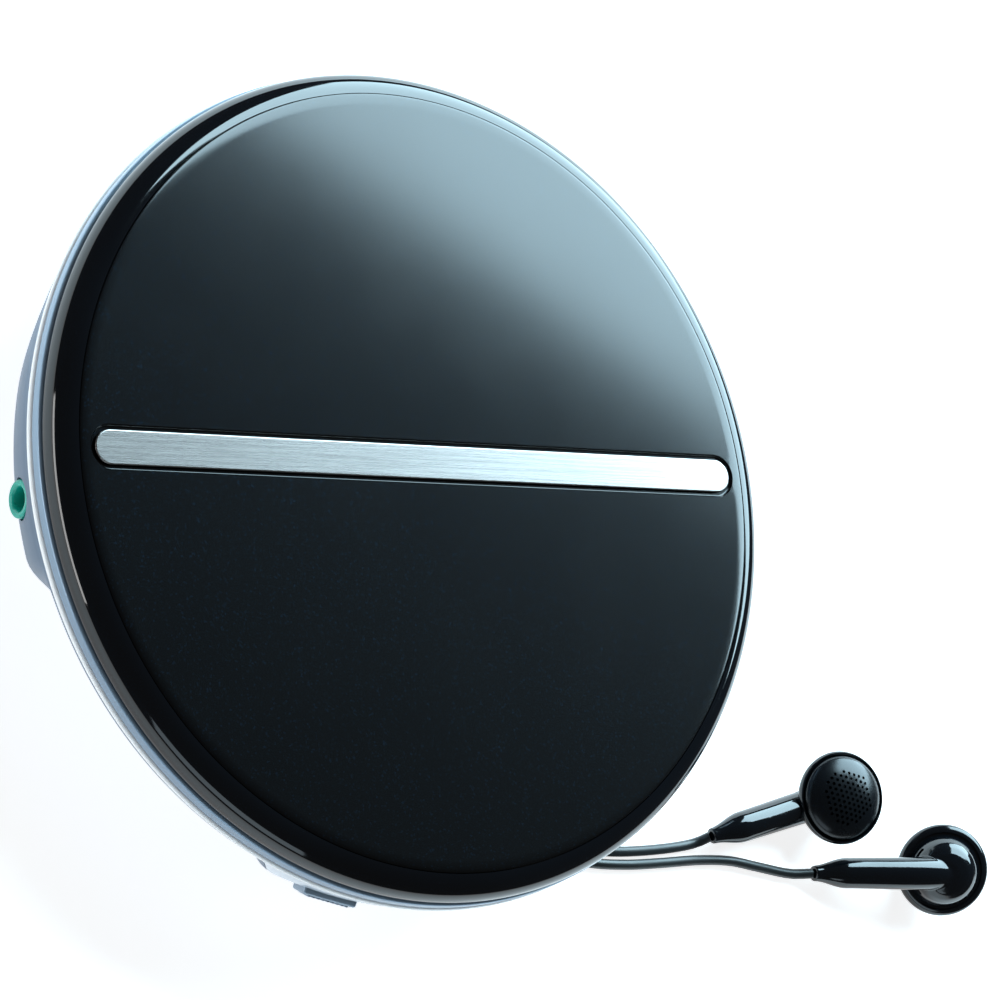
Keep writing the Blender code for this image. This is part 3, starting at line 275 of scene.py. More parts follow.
lens_glass, tree, shader = material("coated_lens_glass", IOR=1.6, Coat_Weight=1.0, Coat_Roughness=0.02)
space = object_space(tree)
dust = add(tree, "ShaderNodeTexNoise", {"Vector": space, "Scale": 1 / 0.8, "Detail": 3.0})
blue = ramp(tree, dust.outputs["Fac"], (0.3, colour("1E2A66")), (0.7, colour("2A3F86")))
tree.links.new(blue, shader.inputs["Base Color"])
clean = add(tree, "ShaderNodeMapRange", {"Value": dust.outputs["Fac"], "To Min": 0.03, "To Max": 0.08})
tree.links.new(clean.outputs[0], shader.inputs["Roughness"])
finishes["lens_glass"] = lens_glass

finishes["cord_black"] = moulded("soft_black_cord_skin", "0A0E10", "12181A", 0.40, 0.06, 0.006,
                                 IOR=1.5, Sheen_Weight=0.15)
print(len(finishes), "finishes in all")

# %% [markdown]
# ## Mesh helpers
# Most parts are turned or lofted, so a profile is turned about Z by code: that keeps each
# point's place in the mesh and gives clean quads. Booleans cut the openings, and the result
# is baked to a plain mesh with weighted normals, so wide flat faces stay flat beside
# small rounded edges.

# %% Mesh helpers
collection = bpy.context.scene.collection


def mesh_object(name, bm, place=None):
    """A linked object from a bmesh, with its place in the mesh and its faces outwards."""
    bmesh.ops.remove_doubles(bm, verts=bm.verts, dist=0.000002)
    bmesh.ops.recalc_face_normals(bm, faces=bm.faces)
    if place:
        bmesh.ops.transform(bm, matrix=place, verts=bm.verts)
    mesh = bpy.data.meshes.new(name)
    bm.to_mesh(mesh)
    bm.free()
    made = bpy.data.objects.new(name, mesh)
    collection.objects.link(made)
    return made


def skin(bm, rings, around=True, caps=True):
    """Joins rings of points with quads; the rings are closed, and so is the run of them if around."""
    rings = [[bm.verts.new(point) for point in ring] for ring in rings]
    pairs = list(zip(rings, rings[1:] + rings[:1])) if around else list(zip(rings, rings[1:]))
    for ring, after in pairs:
        for i in range(len(ring)):
            j = (i + 1) % len(ring)
            bm.faces.new((ring[i], ring[j], after[j], after[i]))
    if caps and not around:
        bm.faces.new(rings[0])
        bm.faces.new(list(reversed(rings[-1])))
    return rings


def turned(name, profile, steps=288, place=None):
    """A closed profile of (radius, height) in millimetres, turned about Z."""
    bm = bmesh.new()
    rings = []
    for step in range(steps):
        turn = 2 * math.pi * step / steps
        rings.append([(r * MM * math.cos(turn), r * MM * math.sin(turn), z * MM) for r, z in profile])
    skin(bm, rings)
    bmesh.ops.dissolve_degenerate(bm, dist=0.0000001, edges=bm.edges)
    along_axis = [edge for edge in bm.edges if not edge.link_faces]
    bmesh.ops.delete(bm, geom=along_axis, context="EDGES")
    return mesh_object(name, bm, place)


def block(name, low, high, place=None, bevel=0.0, segments=3):
    """A box between two corners in millimetres, with rounded edges if bevel is given."""
    bm = bmesh.new()
    bmesh.ops.create_cube(bm, size=1.0)
    low, high = Vector(low) * MM, Vector(high) * MM
    bmesh.ops.scale(bm, vec=high - low, verts=bm.verts)
    bmesh.ops.translate(bm, vec=(low + high) / 2, verts=bm.verts)
    if bevel:
        bmesh.ops.bevel(bm, geom=bm.edges[:], offset=bevel * MM, segments=segments, profile=0.5,
                        affect="EDGES")
    return mesh_object(name, bm, place)


def pointing(at, way):
    """A place at a point in millimetres with its Z along a direction."""
    return Matrix.Translation(at * MM) @ way.to_track_quat("Z", "Y").to_matrix().to_4x4()


def rod(name, start, end, radius, steps=48):
    """A plain round bar between two points in millimetres."""
    start, end = Vector(start), Vector(end)
    length = (end - start).length
    return turned(name, [(0, 0), (radius, 0), (radius, length), (0, length)], steps,
                  pointing(start, end - start))


def shape(obj, operation, others):
    """Booleans the others into obj, then removes them."""
    for other in others:
        change = obj.modifiers.new(operation.lower(), "BOOLEAN")
        change.operation = operation
        change.object = other
        change.solver = "EXACT"
    settle(obj)
    for other in others:
        bpy.data.objects.remove(other, do_unlink=True)
    return obj


def settle(obj):
    """Applies what the modifiers make, as a plain mesh."""
    bpy.context.view_layer.update()
    ready = obj.evaluated_get(bpy.context.evaluated_depsgraph_get())
    mesh = bpy.data.meshes.new_from_object(ready)
    obj.modifiers.clear()
    obj.data = mesh
    return obj


def piece(obj, body, slot, *nodes, degrees=32, weigh=True):
    """Smooths a finished piece, paints it with its slot's finish, gives it its body, and hides the nodes it
    replaces.
    """
    obj.data.shade_smooth()
    obj.data.set_sharp_from_angle(angle=math.radians(degrees))
    if weigh:
        even = obj.modifiers.new("even", "WEIGHTED_NORMAL")
        even.keep_sharp = True
        settle(obj)
    if not obj.data.materials:
        obj.data.materials.append(finishes[slot])
    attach(obj, body)
    if nodes:
        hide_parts(*nodes)
    return obj


def polar(degrees, radius=1.0, height=0.0):
    """A point at an angle and a radius about Z."""
    turn = math.radians(degrees)
    return Vector((radius * math.cos(turn), radius * math.sin(turn), height))


def ease(value):
    """Nought to one with a soft start and end, held outside."""
    value = min(max(value, 0.0), 1.0)
    return value * value * (3 - 2 * value)


def catmull_rom(points, steps):
    """A smooth curve through points, with each stretch between two of them cut in steps."""
    points = [Vector(point) for point in points]
    padded = [2 * points[0] - points[1]] + points + [2 * points[-1] - points[-2]]
    fine = []
    for a, b, c, d in zip(padded, padded[1:], padded[2:], padded[3:]):
        for t in (step / steps for step in range(steps)):
            fine.append(0.5 * (2 * b + (c - a) * t + (2 * a - 5 * b + 4 * c - d) * t * t
                               + (3 * b - a - 3 * c + d) * t ** 3))
    return fine + [points[-1]]


print("helpers ready")

# %% [markdown]
# ## Earphone cords
# Thin soft cord 1.8 mm thick. Each earphone has a lead that runs along the table and under
# the player's edge, and both pass through the hank's bottom to the splitter. The main cord
# is wound into that hank, eight turns in four layers, and its last stretch ends in the plug.
# Each cord is one curve through a smooth route, with its thickness as the curve's bevel.

# %% Routes
CORD = 1.8
TABLE = 1.0
HANK_ANGLE = 14.5
HANK_RADIUS = 70.6
HANK_MIDDLE = 4.6
HANK_FAR = 19.3
HANK_PLACE = (Matrix.Rotation(math.radians(HANK_ANGLE), 4, "Z")
              @ Matrix.Translation((HANK_RADIUS * MM, 0, HANK_MIDDLE * MM)))


def in_hank(x, y, z):
    """A point of the hank in millimetres: X outwards, Y along it, Z up from its middle."""
    return HANK_PLACE @ (Vector((x, y, z)) * MM) / MM


def smooth_route(points, spacing):
    """Points every spacing millimetres along a smooth curve; a pair of numbers lies on the table."""
    fine = catmull_rom([point if len(point) == 3 else (*point, TABLE) for point in points], 12)
    kept = [fine[0]]
    for point in fine[1:-1]:
        if (point - kept[-1]).length >= spacing:
            kept.append(point)
    return kept + [fine[-1]]


def lay_cord(name, route, far_end, with_pieces, *nodes):
    """The curve along a route, with the cord's thickness and finish, and the length it has printed."""
    curve = bpy.data.curves.new(name, "CURVE")
    curve.dimensions = "3D"
    curve.bevel_depth = CORD / 2 * MM
    curve.bevel_resolution = 4
    curve.use_fill_caps = True
    spline = curve.splines.new("POLY")
    spline.points.add(len(route) - 1)
    for point, place in zip(spline.points, route):
        point.co = (*(place * MM), 1.0)
    made = bpy.data.objects.new(name, curve)
    collection.objects.link(made)
    curve.materials.append(finishes["cord_black"])
    length = sum((b - a).length for a, b in zip(route, route[1:]))
    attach(made, "player")
    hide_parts(*nodes)
    print(name, "is", round(length), "mm long")
    return made


# %% Earphone places
STEM = 27.0
BUDS = {
    "left": (Vector((94.3, -49.9, 7.6)), Vector((-0.20, -0.12, 0.97)), Vector((-0.958, -0.215, -0.185))),
    "right": (Vector((117.4, -62.6, 5.4)), Vector((0.50, 0.26, -0.83)), Vector((-0.985, 0.008, -0.122))),
}
stem_tips = {side: head + stem.normalized() * (STEM + 0.3) for side, (head, _, stem) in BUDS.items()}
print({side: [round(value, 1) for value in tip] for side, tip in stem_tips.items()})

# %% Splitter and plug
splitter_at = in_hank(2.4, HANK_FAR, -2.3)
splitter_turn = math.radians(HANK_ANGLE + 90) + 0.12
splitter_way = Vector((math.cos(splitter_turn), math.sin(splitter_turn), 0))
ribbed = [(0, 0), (1.5, 0), (1.62, 0.15)]
for rib in range(5):
    wide, along = 1.66 + 0.04 * rib, 0.5 + 0.8 * rib
    ribbed += [(wide, along), (wide, along + 0.4), (wide - 0.2, along + 0.5), (wide - 0.2, along + 0.7)]
ribbed += [(1.88, 4.6), (1.9, 9.4), (1.8, 10.4), (1.5, 10.9), (0.95, 11.0), (0, 11.0)]
splitter = piece(turned("splitter", ribbed, 48, pointing(splitter_at, splitter_way)),
                 "player", "earbud_gloss", "cord_splitter")

PLUG_ANGLE = 58
plug_at = polar(PLUG_ANGLE, 67.0, 3.4)
plug_turn = math.radians(PLUG_ANGLE) + 0.22
plug_way = Vector((-math.sin(plug_turn), math.cos(plug_turn), 0))
plug_place = pointing(plug_at, plug_way)
boot = [(0, 0), (1.5, 0), (1.7, 1.2), (1.45, 1.4), (1.45, 1.9), (1.85, 2.1), (1.85, 2.6), (1.6, 2.8),
        (1.6, 3.3), (2.1, 3.6), (2.9, 4.8), (3.0, 5.4), (3.0, 14.8), (2.8, 15.6), (2.3, 16.0), (0, 16.0)]
plug_boot = piece(turned("plug_boot", boot, 64, plug_place), "player", "plug_body", "plug")
pin = [(0, 15.9), (1.75, 15.9), (1.75, 19.4), (1.6, 19.5), (1.6, 19.9), (1.75, 20.0), (1.75, 23.2), (1.6, 23.3),
       (1.6, 23.7), (1.75, 23.8), (1.75, 27.2), (1.45, 27.7), (1.35, 28.1), (1.6, 28.7), (1.3, 29.4),
       (0.6, 29.9), (0, 30.0)]
plug_pin = piece(turned("plug_pin", pin, 64, plug_place), "player", "steel", "plug")
print("splitter and plug made")

# %% The two leads
through = [in_hank(0, y, -3.3) for y in (-20.5, -10, 0, 10, 19.5)]
left_route = [stem_tips["left"], (66, -56.6), (61.5, -57.3), (55, -57.8), (48, -57.9), (42, -57.2), (38.2, -54.8),
              (39.4, -51.9), (44.5, -48.9), (51, -43.2), (57.5, -36), (63, -27)]
right_route = [stem_tips["right"], (86, -62.2), (79, -60.9), (73, -59.8), (66, -59.6), (58, -60.0), (50, -60.2),
               (42, -59.6), (34.5, -57.2), (32.2, -53.8), (35.4, -51.6), (43.0, -46.6), (50, -40.0),
               (56, -32), (61, -24)]
side_of = HANK_PLACE.to_3x3() @ Vector((1, 0, 0))
for side, route, shift in (("left", left_route, 0.95), ("right", right_route, -0.95)):
    run = [point + side_of * shift for point in through]
    last = splitter_at + side_of * shift * 0.4
    last.z = splitter_at.z
    lay_cord(f"lead_{side}_cord", smooth_route(route + run + [last], 1.6), "fitting", [splitter],
             f"lead_{side}")

# %% The main cord
STRAIGHT = 13.5
LAYERS = (-3.35, -1.5, 0.35, 2.2)
RADII = (4.6, 2.7, 2.7, 4.6, 4.6, 2.7, 2.7, 4.6)


def lifted(x, y, z):
    """Raises the folds so that the leads pass under them, and draws the runs in at the tie."""
    waist = 1 - 0.08 * math.exp(-(y / 4.0) ** 2)
    return in_hank(x * waist, y, z * waist + 1.85 * ease((abs(y) - STRAIGHT + 3) / 6))


winding = [splitter_at + splitter_way * 11.3]
winding += [winding[0] + splitter_way * 3.0 - side_of * 0.5, winding[0] + splitter_way * 4.6 - side_of * 3.2,
            winding[0] + splitter_way * 2.2 - side_of * 6.0, in_hank(-4.9, 25.0, -3.3), in_hank(-4.7, 17.5, -3.35)]
for turn, radius in enumerate(RADII):
    height = LAYERS[turn // 2]
    after = RADII[turn + 1] if turn + 1 < len(RADII) else radius
    upper = LAYERS[(turn + 1) // 2] if turn + 1 < len(RADII) else height
    winding += [lifted(-radius, y, height) for y in (12, 8, 4, 0, -4, -8, -12)]
    for step in range(1, 8):
        angle = math.pi * step / 8
        winding.append(lifted(-radius * math.cos(angle), -STRAIGHT - radius * math.sin(angle), height))
    winding += [lifted(radius, y, height) for y in (-12, -8, -4, 0, 4, 8, 12)]
    if turn + 1 < len(RADII):
        for step in range(1, 8):
            angle = math.pi * step / 8
            wide = radius + (after - radius) * step / 8
            rise = height + (upper - height) * step / 8
            winding.append(lifted(wide * math.cos(angle), STRAIGHT + wide * math.sin(angle), rise))
winding += [lifted(4.4, 16.5, 2.2), lifted(3.6, 20.0, 2.2), in_hank(2.0, 25.0, 2.6)]
winding += [plug_at - plug_way * 9.0 + Vector((0, 0, 1.2)), plug_at - plug_way * 4.0, plug_at - plug_way * 0.2]
lay_cord("main_cord", smooth_route(winding, 1.4), "plug", [plug_boot, plug_pin],
         "cord_hank", "cord_to_hank", "cord_to_plug")

# %% [markdown]
# ## Base wall
# The bowl's radius changes with the angle, because two bulges stand out of it: one for the
# sockets and one for the controls. It is lofted ring by ring from that rule, on a smooth
# curve through the wall's heights. The front panel is cut from the same wall, so the two
# meet exactly along their S-shaped edge.

# %% The wall's rule
# Height, plain radius and radius on a bulge, from the top down.
WALL_CURVE = [(17.1, 69.2, 69.2), (16.2, 68.9, 69.1), (14.6, 67.6, 68.9), (11.8, 65.4, 68.2), (8.0, 62.6, 66.6),
              (4.0, 59.6, 63.8), (1.8, 57.5, 61.4), (1.0, 55.0, 58.5)]
# Each bulge starts to rise, is full, begins to fall and has ended at these degrees.
BULGES = [(130, 168, 190, 198), (241, 247, 311, 317)]


def bulge_share(degrees):
    """How much of the bulge the wall has at an angle, from 0 to 1."""
    share = 0.0
    for start, full, still, end in BULGES:
        rise = ease((degrees % 360 - start) / (full - start))
        fall = 1 - ease((degrees % 360 - still) / (end - still))
        share = max(share, min(rise, fall))
    return share


def wall_radius(degrees, height):
    """Outer radius of the wall in millimetres."""
    for upper, lower in zip(WALL_CURVE, WALL_CURVE[1:]):
        if height >= lower[0]:
            break
    mix = (height - lower[0]) / (upper[0] - lower[0])
    bowl = lower[1] + mix * (upper[1] - lower[1])
    full = lower[2] + mix * (upper[2] - lower[2])
    return bowl + bulge_share(degrees) * (full - bowl)


def wall_place(degrees, height):
    """A place on the wall: X along it, Y up it, Z outwards."""
    turn = math.radians(degrees)
    out = Vector((math.cos(turn), math.sin(turn), 0))
    sideways = Vector((-math.sin(turn), math.cos(turn), 0))
    slope = wall_radius(degrees, height + 0.5) - wall_radius(degrees, height - 0.5)
    up = (out * slope + Vector((0, 0, 1))).normalized()
    place = Matrix((sideways, up, sideways.cross(up))).transposed().to_4x4()
    place.translation = (out * wall_radius(degrees, height) + Vector((0, 0, height))) * MM
    return place


def bowl(name, steps=360):
    """The whole wall and floor as one closed solid."""
    outer = [tuple(row) for row in catmull_rom(WALL_CURVE, 4)]
    inner = [(17.1, 67.8, 67.8), (14.6, 66.2, 67.5), (8.0, 61.2, 65.2), (4.0, 58.2, 62.4), (2.2, 53.6, 57.1)]
    section = outer + list(reversed(inner))
    bm = bmesh.new()
    rings = []
    for step in range(steps):
        turn = 2 * math.pi * step / steps
        share = bulge_share(360 * step / steps)
        rings.append([bm.verts.new(((low + share * (high - low)) * MM * math.cos(turn),
                                    (low + share * (high - low)) * MM * math.sin(turn), z * MM))
                      for z, low, high in section])
    floor = len(outer) - 1
    for ring, after in zip(rings, rings[1:] + rings[:1]):
        for i in range(len(section)):
            if i != floor:
                j = (i + 1) % len(section)
                bm.faces.new((ring[i], ring[j], after[j], after[i]))
    bm.faces.new([ring[floor] for ring in rings])
    bm.faces.new([ring[floor + 1] for ring in rings])
    return mesh_object(name, bm)


print("wall radius at the jack and at the back:", round(wall_radius(183, 12), 1), round(wall_radius(90, 12), 1))

# %% [markdown]
# ## The front panel and its controls
# A panel of light silver plastic lies in the front bulge, with a display window, six keys,
# the lid's slider and a hold switch. Every hole is a Boolean, because that leaves the true
# thickness of the wall showing round each key.

# %% Front panel and base
def wedge(name, start, end, low, top):
    """A wedge ring between two angles; low gives the lower edge's height."""
    bm = bmesh.new()
    count = round((end - start) / 0.8)
    rings = []
    for step in range(count + 1):
        degrees = start + (end - start) * step / count
        turn = math.radians(degrees)
        corners = ((50, low(degrees)), (75, low(degrees)), (75, top), (50, top))
        rings.append([(r * MM * math.cos(turn), r * MM * math.sin(turn), z * MM) for r, z in corners])
    skin(bm, rings, around=False)
    return mesh_object(name, bm)


def panel_edge(grow):
    """The panel's lower edge: an S at each end, level between."""
    def low(degrees):
        share = min(ease((degrees - PANEL[0]) / 12), ease((PANEL[1] - degrees) / 12))
        return 16.5 + share * (5.4 - 16.5) - grow
    return low


GAP_TURN = 0.25
GAP = 0.35
PANEL = (239, 319)
WINDOW = (265, 282)
SLIDER_TURN = 255.3
HOLD_TURN = 306.0
SLIDE_HEIGHT = 10.5
COLUMNS = (286.5, 293.0, 299.5)
PANEL_KEYS = dict(zip(("previous_button", "play_button", "next_button"), [(turn, 13.0) for turn in COLUMNS]))
PANEL_KEYS |= zip(("volume_down_button", "stop_button", "volume_up_button"),
                  [(turn, 8.3) for turn in COLUMNS])
# Each control's angle, height, width, tallness, how far it stands proud, and its travel.
CONTROLS = {name: (turn, height, 6.0, 3.0, 0.8, 0.0) for name, (turn, height) in PANEL_KEYS.items()}
CONTROLS["open_slider"] = (SLIDER_TURN, SLIDE_HEIGHT, 10.2, 4.2, 0.9, 2.5)
CONTROLS["hold_switch"] = (HOLD_TURN, SLIDE_HEIGHT, 4.0, 2.6, 0.8, 2.4)

panel = shape(bowl("front_panel"), "INTERSECT", [wedge("panel_keep", *PANEL, panel_edge(0), 20)])
holes = [wedge("window_hole", WINDOW[0] - GAP_TURN, WINDOW[1] + GAP_TURN, lambda _: 7.1, 15.1)]
for name, (turn, height, wide, tall, proud, travel) in CONTROLS.items():
    holes.append(block(name + "_hole", (-wide / 2 - GAP, -tall / 2 - GAP, -4),
                       (wide / 2 + travel + GAP, tall / 2 + GAP, 4), wall_place(turn, height), 0.45))
# The slider's flange moves straight while the wall curves, so the wall is thinned behind it.
holes.append(block("slider_room", (-6.0, -2.9, -4), (8.3, 2.9, -2.0), wall_place(SLIDER_TURN, SLIDE_HEIGHT)))
panel = shape(panel, "DIFFERENCE", holes)
piece(panel, "player", "fascia_silver", "front_fascia")

base = bowl("bowl")
bay = block("bay_wall", (14.3, -28.6, 1.5), (46.9, 28.6, 16.8))
SCREWS = ((1, -45), (23, 40.5))
JACK_Y, JACK_Z = -3, 12
posts = [rod(f"case_post_{i}", (x, y, 2), (x, y, 9.7), 3.6) for i, (x, y) in enumerate(SCREWS)]
shape(base, "UNION", [bay] + posts)
socket_way = polar(115)
lifted_socket = Vector((0, 0, 9))
holes = [wedge("panel_hole", PANEL[0] - GAP_TURN, PANEL[1] + GAP_TURN, panel_edge(0.3), 20),
         block("bay_hole", (15.4, -27.5, 0), (45.8, 27.5, 20), None, 0.4),
         rod("jack_way", (-60, JACK_Y, JACK_Z), (-75, JACK_Y, JACK_Z), 3.4, 96),
         rod("power_way", socket_way * 55 + lifted_socket, socket_way * 75 + lifted_socket, 2.6, 72)]
for i, (x, y) in enumerate(((34, 34), (-34, 34), (-34, -34), (34, -34))):
    holes.append(rod(f"foot_seat_{i}", (x, y, 0), (x, y, 1.5), 4.8, 72))
for i, (x, y) in enumerate(SCREWS):
    holes.append(rod(f"screw_sink_{i}", (x, y, 0), (x, y, 3.1), 2.5, 60))
    holes.append(rod(f"screw_way_{i}", (x, y, 2), (x, y, 12), 1.4, 44))
shape(base, "DIFFERENCE", holes)
piece(base, "player", "base_grey", "base_shell")
print("panel faces", len(panel.data.polygons), "bowl faces", len(base.data.polygons))

# %% Display window
window = shape(bowl("display_window"), "INTERSECT", [wedge("window_keep", *WINDOW, lambda _: 7.4, 14.8)])
piece(window, "player", "display_window", "lcd_window")

# %% [markdown]
# ## Keys
# Each key is a lacquered cap with rounded edges on a flange behind the panel. A raised
# generic sign tells them apart: arrows, a square, a plus and a minus. The signs are thin
# prisms pressed into the cap, made in the cap's own place so that they move with it.

# %% Keys and hold switch
def cap(name, body, slot, width_round=0.55):
    """A control's cap and flange in its place on the wall."""
    turn, height, wide, tall, proud, travel = CONTROLS[name]
    place = wall_place(turn, height)
    made = block(name + "_cap", (-wide / 2, -tall / 2, -2.2), (wide / 2, tall / 2, proud), place, width_round, 5)
    flange = block(name + "_flange", (-wide / 2 - 0.6, -tall / 2 - 0.4, -2.9),
                   (wide / 2 + 0.6, tall / 2 + 0.4, -2.05), place)
    shape(made, "UNION", [flange])
    return piece(made, body, slot, name)


def sign(name, polygons):
    """Raised flat signs on a key's top, from polygons in millimetres."""
    turn, height = PANEL_KEYS[name]
    bm = bmesh.new()
    for polygon in polygons:
        rings = [[(x * MM, y * MM, z * MM) for x, y in polygon] for z in (0.7, 0.86)]
        skin(bm, rings, around=False)
    made = mesh_object(name + "_sign", bm, wall_place(turn, height))
    return piece(made, name, "bead_white", weigh=False)


def arrow(x, size=1.0):
    """A triangle from x to x + size."""
    return [(x, -0.6 * abs(size)), (x + size, 0), (x, 0.6 * abs(size))]


def bar(x, y, wide, tall):
    """A rectangle about a middle."""
    return [(x - wide / 2, y - tall / 2), (x + wide / 2, y - tall / 2), (x + wide / 2, y + tall / 2),
            (x - wide / 2, y + tall / 2)]


for name in PANEL_KEYS:
    cap(name, name, "control_silver")
sign("play_button", [arrow(-0.9, 1.1), bar(0.75, 0, 0.22, 1.2), bar(1.15, 0, 0.22, 1.2)])
sign("stop_button", [bar(0, 0, 1.1, 1.1)])
sign("previous_button", [arrow(0, -1.0), arrow(1.0, -1.0), bar(-1.15, 0, 0.2, 1.2)])
sign("next_button", [arrow(-1.0, 1.0), arrow(0, 1.0), bar(1.15, 0, 0.2, 1.2)])
sign("volume_down_button", [bar(0, 0, 1.4, 0.3)])
sign("volume_up_button", [bar(0, 0, 1.4, 0.3), bar(0, 0.45, 0.3, 0.6), bar(0, -0.45, 0.3, 0.6)])
cap("hold_switch", "hold_switch", "black_satin", 0.4)
print("six keys and the hold switch")

# %% [markdown]
# ## Ribs by Geometry Nodes
# The lid's slider has a row of grip ribs, and the hold switch has three. A row of equal
# ribs is what Geometry Nodes are good at: a line of points, one rounded bar on each, made
# real and painted at the end. The same tree serves both, with its sizes as inputs.

# %% Tree helpers
def new_tree(name, takes_mesh=False, **inputs):
    """A tree and its given sockets; inputs are names and kinds, and Finish is always the last."""
    tree = bpy.data.node_groups.new(name, "GeometryNodeTree")
    kinds = {"Geometry": "Geometry"} if takes_mesh else {}
    kinds |= inputs | {"Finish": "Material"}
    for socket, kind in kinds.items():
        tree.interface.new_socket(socket.replace("_", " "), in_out="INPUT", socket_type="NodeSocket" + kind)
    tree.interface.new_socket("Geometry", in_out="OUTPUT", socket_type="NodeSocketGeometry")
    return tree, add(tree, "NodeGroupInput").outputs


def end_tree(tree, shapes, finish):
    """Ends a tree: its shapes are made real, painted and sent out."""
    real = add(tree, "GeometryNodeRealizeInstances", {"Geometry": shapes})
    painted = add(tree, "GeometryNodeSetMaterial", {"Geometry": real.outputs[0], "Material": finish})
    add(tree, "NodeGroupOutput", {"Geometry": painted.outputs[0]})
    return tree


def grow(obj, tree, **sizes):
    """Runs a tree on an object with its named inputs, and keeps the result as a plain mesh."""
    maker = obj.modifiers.new("maker", "NODES")
    maker.node_group = tree
    for item in tree.interface.items_tree:
        if item.in_out == "INPUT" and item.name.replace(" ", "_") in sizes:
            maker[item.identifier] = sizes[item.name.replace(" ", "_")]
    return settle(obj)


def grown(name, tree, place, **sizes):
    """A new object grown from a tree, in its place."""
    made = bpy.data.objects.new(name, bpy.data.meshes.new(name))
    collection.objects.link(made)
    grow(made, tree, **sizes)
    made.data.transform(place)
    return made


# %% Rib tree
def rib_tree():
    """A tree that lays ribs in a row along X: count, pitch, and one rib's size."""
    tree, given = new_tree("grip_ribs", Count="Int", Pitch="Float", Size="Vector")
    spread = add(tree, "ShaderNodeCombineXYZ", {"X": given["Pitch"]})
    line = add(tree, "GeometryNodeMeshLine", {"Count": given["Count"], "Offset": spread.outputs[0]})
    bar_mesh = add(tree, "GeometryNodeMeshCube", {"Size": given["Size"], "Vertices X": 2, "Vertices Y": 2,
                                                  "Vertices Z": 2})
    finer = add(tree, "GeometryNodeSubdivideMesh", {"Mesh": bar_mesh.outputs["Mesh"], "Level": 1})
    rounded = add(tree, "GeometryNodeSubdivisionSurface", {"Mesh": finer.outputs[0], "Level": 2,
                                                           "Edge Crease": 0.55})
    ribs = add(tree, "GeometryNodeInstanceOnPoints", {"Points": line.outputs[0], "Instance": rounded.outputs[0]})
    return end_tree(tree, ribs.outputs[0], given["Finish"])


ribs = rib_tree()
RIBS = 9
RIB_PITCH = 0.9 * MM
slider_wall = wall_place(SLIDER_TURN, SLIDE_HEIGHT)
grip = grown("slider_ribs", ribs, slider_wall @ Matrix.Translation((-3.6 * MM, 0, 0.9 * MM)),
             Count=RIBS, Pitch=RIB_PITCH, Size=(0.5 * MM, 3.4 * MM, 0.5 * MM),
             Finish=finishes["control_silver"])
piece(grip, "open_slider", "control_silver")
hold_wall = wall_place(HOLD_TURN, SLIDE_HEIGHT)
hold_grip = grown("hold_ribs", ribs, hold_wall @ Matrix.Translation((-0.9 * MM, 0, 0.8 * MM)),
                  Count=3, Pitch=RIB_PITCH, Size=(0.35 * MM, 1.9 * MM, 0.35 * MM),
                  Finish=finishes["black_satin"])
piece(hold_grip, "hold_switch", "black_satin")

# %% Slider
slider = block("slider_cap", (-5.1, -2.1, -2.2), (5.1, 2.1, 0.9), slider_wall, 0.5, 5)
slider_turn = Matrix.Rotation(math.radians(SLIDER_TURN), 4, "Z")
shape(slider, "UNION", [block("slider_flange", (-5.7, -2.6, -2.9), (5.7, 2.6, -2.05), slider_wall),
                        block("slider_arm", (63.9, 2.5, 10), (65.3, 4.3, 16.8), slider_turn)])
piece(slider, "open_slider", "control_silver", "open_slider")
print("slider with", RIBS, "ribs")

# %% [markdown]
# ## Bead, ring and disc well
# The bead, whose white is a painted highlight along the ring's lower edge, and the silver
# ring are turned rings. The ring is one moulding with the disc well inside it, so it also
# has the way for the lens, the notch for the hinge and the slot for the latch.

# %% Bead
bead_profile = [(67.6, 17.4), (69.1, 17.4), (69.42, 17.5), (69.62, 17.72), (69.7, 18.05), (69.62, 18.38),
                (69.42, 18.6), (69.1, 18.7), (67.6, 18.7)]
# The bead's pure white is a painted highlight, standing in for the light on the ring's lower edge.
piece(turned("white_bead", bead_profile, 360), "player", "bead_white", "trim_bead")

# %% Ring and well
HINGE_Y, HINGE_Z = 66.9, 21.0


def knuckle(name, start, end):
    """A hinge knuckle along X with its pin's bore."""
    place = Matrix.Translation((0, HINGE_Y * MM, HINGE_Z * MM)) @ Matrix.Rotation(math.radians(90), 4, "Y")
    return turned(name, [(0.87, start), (1.2, start), (1.3, start + 0.1), (1.3, end - 0.1), (1.2, end),
                         (0.87, end)],
                  64, place)


ring_profile = [
    (68.4, 21.0), (68.8, 21.0), (69.1, 20.92), (69.32, 20.7), (69.4, 20.4), (69.4, 19.12), (69.28, 19.0),
    (67.0, 19.0), (67.0, 16.6), (65.8, 16.6), (65.8, 19.8), (63.2, 19.8), (63.2, 17.4), (17.0, 17.4),
    (17.0, 18.2), (17.1, 18.3), (17.8, 18.3), (60.6, 18.3), (61.5, 18.42), (61.9, 18.8), (62.0, 19.4),
    (62.0, 20.6), (62.12, 20.88), (62.4, 21.0), (63.2, 21.0)]
housing = turned("ring_and_well", ring_profile, 360)
ears = []
for side in (-1, 1):
    inner, outer = sorted((side * 5.3, side * 9.3))
    ears += [block(f"ear_leg_{side}", (inner, 65.4, 18.0), (outer, 66.6, 20.05)),
             knuckle(f"ear_{side}", inner, outer)]
cuts = [block("lens_way", (-8, 8, 15), (8, 60, 20), None, 1.2),
        block("hinge_notch", (-18.5, 65.3, 18.85), (18.5, 75, 25)),
        block("latch_way", (63.6, -2.5, 19), (65.9, 2.5, 22), slider_turn)]
cuts.append(rod("plunger_way", polar(215, 64.5, 19), polar(215, 64.5, 22), 1.15))
shape(housing, "DIFFERENCE", cuts)
shape(housing, "UNION", ears)
piece(housing, "player", "ring_silver", "mid_housing")
print("ring faces", len(housing.data.polygons))

